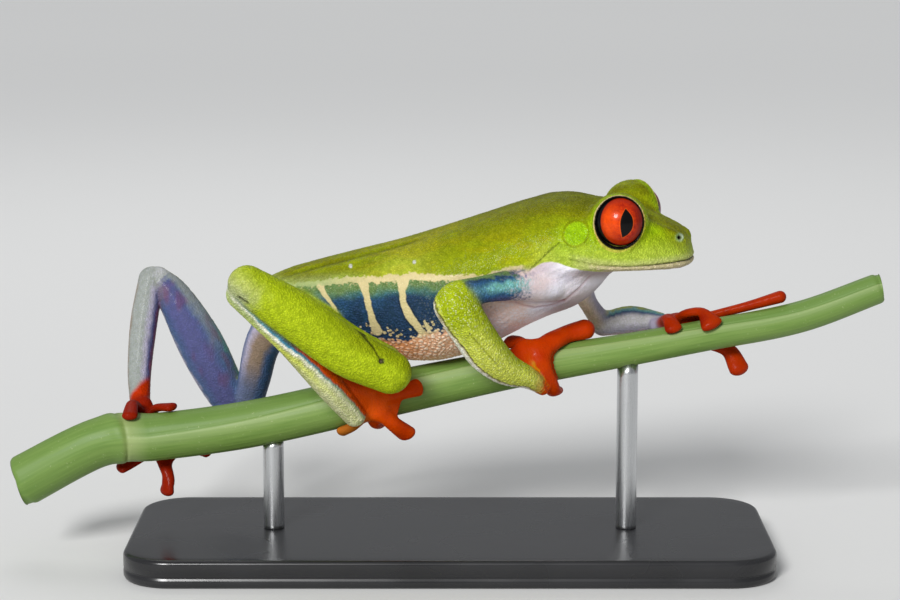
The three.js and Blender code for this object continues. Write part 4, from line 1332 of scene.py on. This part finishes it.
def build_base(name):
    """The stand's base: a plate with round corners and edges, and a fine groove round it."""
    sides = 14
    x, y, corner = BASE["length"] / 2, BASE["depth"] / 2, BASE["corner"]
    outline = []
    for k, (right, up) in enumerate(((1, 1), (-1, 1), (-1, -1), (1, -1))):
        middle = np.array([right * (x - corner), up * (y - corner)])
        for angle in np.radians(np.linspace(90 * k, 90 * k + 90, sides)):
            outline.append((middle, np.array([math.cos(angle), math.sin(angle)])))
    top, edge, groove = BASE["thickness"], 0.7, 0.18
    profile = [(-0.5, 0.0), (-0.2, 0.12), (0, 0.5), (0, 1.25), (-groove, 1.4), (-groove, 1.6), (0, 1.75)]
    profile += [(0, top - edge)]
    for a in np.radians(np.linspace(15, 90, 6)):
        profile.append((edge * (math.cos(a) - 1), top - edge + edge * math.sin(a)))
    profile += [(-2.2, top), (-5.5, top)]
    rings = [[(*(m + out * (corner + inset)), z) for m, out in outline] for inset, z in profile]
    points = [(0, 0, 0)] + [p for ring in rings for p in ring] + [(0, 0, top)]
    return mesh_object(name, np.array(points), ring_faces(len(rings), len(outline), True))


def build_rod(name, x):
    """A steel rod with a small foot collar; its top is coped to the stem's underside."""
    sides = 48
    turn = np.linspace(0, 2 * math.pi, sides, endpoint=False)
    bottom = BASE["thickness"]
    profile = [(ROD["radius"] - 0.1, 0.02), (ROD["radius"], 0.12), (ROD["radius"], 0.6)]
    rings = [[(x + r * math.cos(a), r * math.sin(a), bottom + h) for a in turn] for r, h in profile]
    for share in np.linspace(0.1, 1.0, 14):
        ring = []
        for a in turn:
            px, py = x + ROD["radius"] * math.cos(a), ROD["radius"] * math.sin(a)
            middle, radius, over_x, over_z = stem_frame(px)
            top = middle - math.sqrt(radius**2 - py**2) / over_z + 0.02
            ring.append((px, py, bottom + 0.6 + (top - bottom - 0.6) * share))
        rings.append(ring)
    middle, radius, _, over_z = stem_frame(x)
    tips = (x, 0, bottom + 0.02), (x, 0, middle - radius / over_z + 0.02)
    points = [tips[0]] + [p for ring in rings for p in ring] + [tips[1]]
    return mesh_object(name, np.array(points, float), ring_faces(len(rings), sides, True))


# ---------------------------------------------------------------- materials


class Nodes:
    """A material's nodes, made by short calls."""

    def __init__(self, name):
        self.material = bpy.data.materials.new(name)
        self.material.use_nodes = True
        self.tree = self.material.node_tree
        self.tree.nodes.clear()
        self.shader = self.tree.nodes.new("ShaderNodeBsdfPrincipled")
        output = self.tree.nodes.new("ShaderNodeOutputMaterial")
        self.tree.links.new(self.shader.outputs["BSDF"], output.inputs["Surface"])
        self.object_place = self.add("TexCoord", "Object")

    def add(self, kind, output=0, values=(), **settings):
        """A new node with the values or links of its inputs and its settings; gives one of its outputs."""
        node = self.tree.nodes.new("ShaderNode" + kind)
        for key, value in settings.items():
            setattr(node, key, value)
        for key, value in dict(values).items():
            self.put(node.inputs[key], value)
        return node.outputs[output]

    def put(self, socket, value):
        if isinstance(value, bpy.types.NodeSocket):
            self.tree.links.new(value, socket)
        elif isinstance(value, (tuple, list, np.ndarray)):
            socket.default_value = [*value, 1][: len(socket.default_value)]
        else:
            socket.default_value = value

    def set(self, **values):
        for key, value in values.items():
            self.put(self.shader.inputs[key.replace("_", " ")], value)

    def gloss(self, level, coat, coat_roughness):
        self.shader.inputs["Specular IOR Level"].default_value = level
        self.shader.inputs["Coat Weight"].default_value = coat
        self.shader.inputs["Coat Roughness"].default_value = coat_roughness

    def number(self, name, output="Fac"):
        return self.add("Attribute", output, attribute_name=name)

    def maths(self, kind, *values):
        return self.add("Math", 0, enumerate(values), operation=kind)

    def times(self, first, *others):
        for other in others:
            first = self.maths("MULTIPLY", first, other)
        return first

    def span(self, value, low, high, to_low=0, to_high=1):
        """Maps low..high to to_low..to_high, held at the ends."""
        return self.add("MapRange", 0, enumerate((value, low, high, to_low, to_high)))

    def mix(self, share, a, b, kind="MIX"):
        return self.add("Mix", 2, {"Factor": share, 6: a, 7: b}, data_type="RGBA", blend_type=kind)

    def layers(self, colour, *coats):
        """A colour under coats, each with its share and its colour code."""
        for share, code in coats:
            colour = self.mix(share, colour, srgb(code))
        return colour

    def noise(self, size_mm, detail=2, place=None, stretch=None):
        place = place or self.object_place
        if stretch:
            place = self.add("Mapping", 0, {"Vector": place, "Scale": stretch})
        return self.add("TexNoise", "Fac", {"Vector": place, "Scale": 1 / (size_mm * MM), "Detail": detail})

    def bump(self, height, depth_mm, strength=1, over=None):
        values = {"Distance": depth_mm * MM, "Strength": strength, "Height": height}
        if over:
            values["Normal"] = over
        return self.add("Bump", 0, values)


def skin_material():
    m = Nodes("wet_frog_skin")
    paint_colour = m.number("paint", "Color")
    red, pebbled, smooth = m.number("red"), m.number("pebbled"), m.number("smooth")
    mottle, speck = m.noise(0.8, 3), m.noise(0.2, 2)
    darker = m.mix(1, paint_colour, (0.86, 0.86, 0.8), "MULTIPLY")
    lighter = m.mix(1, paint_colour, (1.09, 1.08, 1.06), "MULTIPLY")
    mottled = m.mix(m.span(mottle, 0.38, 0.62), darker, lighter)
    colour = m.mix(m.span(smooth, 0, 1, 1, 0.25), paint_colour, mottled)
    cells = m.add("TexVoronoi", "Distance", {"Vector": m.object_place, "Scale": 1 / (0.32 * MM)})
    # Painted shade in the gaps between the skin's granules, and below it pale specks as painted glints on
    # the granules.
    between = m.mix(1, colour, (0.55, 0.6, 0.4), "MULTIPLY")
    colour = m.mix(m.times(pebbled, m.span(cells, 0.32, 0.72, 0, 0.6)), colour, between)
    glints = m.times(m.span(speck, 0.62, 0.72, 0, 0.5), pebbled)
    colour = m.mix(glints, colour, m.mix(1, colour, (2, 1.9, 2.4), "MULTIPLY"))
    wet = m.times(red, m.span(speck, 0.5, 0.65, 0, 0.22))
    m.set(Base_Color=colour, Roughness=m.maths("SUBTRACT", m.span(red, 0.2, 0.8, 0.4, 0.46), wet))
    first = m.bump(m.span(cells, 0.12, 0.62, 1, 0), 0.09, m.span(pebbled, 0, 1, 0.35, 1))
    m.set(Normal=m.bump(speck, 0.05, 0.6, first))
    m.gloss(0.04, 0.05, 0.12)
    m.shader.inputs["Subsurface Weight"].default_value = 0.04
    m.shader.inputs["Subsurface Radius"].default_value = (0.0012, 0.0008, 0.0004)
    return m.material


def eye_material():
    m = Nodes("wet_red_eye")
    away, pupil, ahead, up = (m.number(name) for name in ("away", "pupil", "turn_u", "turn_v"))
    both = m.maths("ADD", m.times(m.noise(0.55, 4), 0.65), m.times(m.noise(0.16, 3), 0.35))
    iris = m.mix(m.span(both, 0.38, 0.62), srgb("a01602"), srgb("e04002"))
    colour = m.layers(
        iris,
        # Lighter orange toward the eye's rear and darker red toward its front, top and bottom: painted
        # light and painted shade on the iris.
        (m.span(ahead, 0.4, -1.6, 0, 0.55), "ea5204"),
        (m.span(ahead, 0.9, 2.4, 0, 0.9), "701202"),
        (m.span(up, 1, 2.6, 0, 0.6), "8e1402"),
        (m.span(up, -1.2, -2.6, 0, 0.6), "8a1502"),
        (m.span(away, IRIS - 0.5, IRIS - 0.1, 0, 0.5), "7c1203"),
        (m.span(pupil, -0.2, -0.02, 0, 0.4), "f06a14"),
        (m.span(pupil, -0.03, 0.03), "030303"),
        (m.span(away, IRIS - 0.05, IRIS + 0.06), "05060a"),
    )
    m.set(Base_Color=colour, Roughness=0.3, Normal=m.bump(both, 0.02, 0.3))
    m.gloss(0.1, 0.22, 0.07)
    return m.material


def stem_material():
    m = Nodes("green_stem")
    along = m.number("along")
    place = m.add("CombineXYZ", 0, enumerate((along, m.number("round_cos"), m.number("round_sin"))))
    streak, patch = m.noise(0.3, 3, place, (0.05, 1, 1)), m.noise(3, 3, place, (0.3, 1, 1))
    speck = m.noise(0.35, 2)
    sheath, node = m.number("sheath"), m.number("node")
    past_node = m.span(node, 0, 1)
    colour = m.layers(
        m.mix(m.span(streak, 0.35, 0.65), srgb("68883c"), srgb("789547")),
        (m.span(patch, 0.4, 0.7, 0, 0.35), "849b56"),
        # Darker toward both cut ends: painted shade.
        (m.span(m.maths("ABSOLUTE", along), 18 * MM, 60 * MM, 0, 0.4), "567632"),
        (m.times(m.span(sheath, 0, 0.15), past_node, 0.45), "5b7b34"),
        # A pale band just short of the sheath's raised edge: partly the edge's own paler tissue, partly a
        # painted highlight.
        (m.times(m.span(sheath, 0.1, -0.1), m.span(sheath, -1.6, -0.2), past_node, 0.4), "a3b37e"),
        (m.times(m.span(node, 0, 0.3), m.span(node, 3.4, 0.8), 0.4), "b3be84"),
        (m.times(m.span(node, -0.6, -0.1), m.span(node, 0.5, 0.1), 0.45), "7c8a4e"),
        (m.span(speck, 0.68, 0.74, 0, 0.25), "c8cca0"),
    )
    pith = m.mix(m.span(m.noise(0.25, 2), 0.4, 0.6), srgb("cfd3a4"), srgb("b3bd80"))
    rind = m.layers(pith, (m.span(m.number("inward"), 1.6, 2.2), "8da257"))
    m.set(Base_Color=m.mix(m.number("cut"), colour, rind), Roughness=m.span(streak, 0.3, 0.7, 0.45, 0.6))
    m.set(Normal=m.bump(streak, 0.04, 0.5, m.bump(speck, 0.02, 0.3)))
    m.gloss(0.3, 0.05, 0.3)
    return m.material


def base_material():
    m = Nodes("black_acrylic")
    dust = m.noise(0.5, 3)
    cloud = m.noise(14, 2)
    colour = m.mix(m.span(cloud, 0.3, 0.7), (0.012, 0.012, 0.013), (0.02, 0.02, 0.022))
    colour = m.mix(m.span(dust, 0.7, 0.78, 0, 0.3), colour, (0.09, 0.09, 0.09))
    m.set(Base_Color=colour, Roughness=m.span(cloud, 0.3, 0.7, 0.2, 0.32))
    m.set(Normal=m.bump(dust, 0.01, 0.15))
    return m.material


def rod_material():
    m = Nodes("brushed_rod_steel")
    lines = m.noise(0.1, 2, stretch=(1, 1, 0.03))
    colour = m.mix(m.span(lines, 0.3, 0.7), (0.56, 0.57, 0.58), (0.64, 0.65, 0.66))
    m.set(Base_Color=colour, Metallic=1, Roughness=m.span(lines, 0.3, 0.7, 0.24, 0.34))
    m.set(Normal=m.bump(lines, 0.004, 0.15))
    return m.material


def floor_material():
    m = Nodes("pale_floor")
    cloud = m.noise(400, 1)
    m.set(Base_Color=m.mix(cloud, (0.77, 0.77, 0.76), (0.79, 0.79, 0.78)), Roughness=0.7)
    return m.material


# ---------------------------------------------------------------- putting it together


def show(piece, material, slot, *nodes):
    piece.data.materials.append(material)
    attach(piece, "root")
    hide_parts(*nodes)


FLESH_NODES = [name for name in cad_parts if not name.startswith(("eye_", "stand_", "perch_"))]

points, faces, colour, numbers = build_flesh()
frog = mesh_object("frog_skin", points, faces, numbers, colour)
show(frog, skin_material(), "skin_green", *FLESH_NODES)

wet_eye = eye_material()
for side, way in WAYS.items():
    show(build_eye(f"eyeball_{side}", way), wet_eye, "eye", f"eye_{side}")

show(build_stem("perch_stem_cut"), stem_material(), "stem", "perch_stem")
show(build_base("stand_base_plate"), base_material(), "stand_base", "stand_base")
steel = rod_material()
for number, place in enumerate(ROD["places"], 1):
    show(build_rod(f"stand_rod_{number}_turned", place), steel, "stand_rod", f"stand_rod_{number}")

# ---------------------------------------------------------------- stage, lights and camera

FLOOR_SIDE = 6000
corners = np.array([(-1, -1, 0), (1, -1, 0), (1, 1, 0), (-1, 1, 0)]) * FLOOR_SIDE / 2
floor = mesh_object("studio_floor", corners, [(0, 1, 2, 3)])
floor.data.materials.append(floor_material())

TARGET = Vector((0, 0, 37.5)) * MM
DISTANCE = 357.1 * MM
ELEVATION = math.radians(10)

SUN = {"from": (-0.32, -0.78, 0.54), "strength": 2.5, "angle": math.radians(18)}
LIGHTS = [  # place in millimetres, width of the round lamp in millimetres, watts, colour
    ((-180, -460, 300), 90, 0.35, (1, 0.98, 0.95)),
    ((-60, 340, 420), 320, 0.4, (1, 1, 1)),
]


def look_at(item, place):
    item.rotation_euler = (place - item.location).to_track_quat("-Z", "Y").to_euler()


for number, (place, side, power, tint) in enumerate(LIGHTS, 1):
    data = bpy.data.lights.new(f"studio_light_{number}", "AREA")
    data.energy, data.size, data.color, data.shape = power, side * MM, tint, "DISK"
    lamp = bpy.data.objects.new(data.name, data)
    lamp.location = Vector(place) * MM
    look_at(lamp, TARGET)
    bpy.context.scene.collection.objects.link(lamp)

sun_data = bpy.data.lights.new("studio_sun", "SUN")
sun_data.energy, sun_data.angle = SUN["strength"], SUN["angle"]
sun = bpy.data.objects.new("studio_sun", sun_data)
sun.rotation_euler = Vector(SUN["from"]).to_track_quat("Z", "Y").to_euler()
bpy.context.scene.collection.objects.link(sun)

world = bpy.data.worlds.new("studio")
world.use_nodes = True
world.node_tree.nodes["Background"].inputs["Color"].default_value = (0.8, 0.82, 0.85, 1)
world.node_tree.nodes["Background"].inputs["Strength"].default_value = 0.4
bpy.context.scene.world = world
bpy.context.scene.view_settings.view_transform = "Standard"

camera_data = bpy.data.cameras.new("camera")
camera_data.lens = 100
camera_data.sensor_width = 36
camera = bpy.data.objects.new("camera", camera_data)
camera.location = TARGET + Vector((0, -math.cos(ELEVATION), math.sin(ELEVATION))) * DISTANCE
look_at(camera, TARGET)
bpy.context.scene.collection.objects.link(camera)
bpy.context.scene.camera = camera
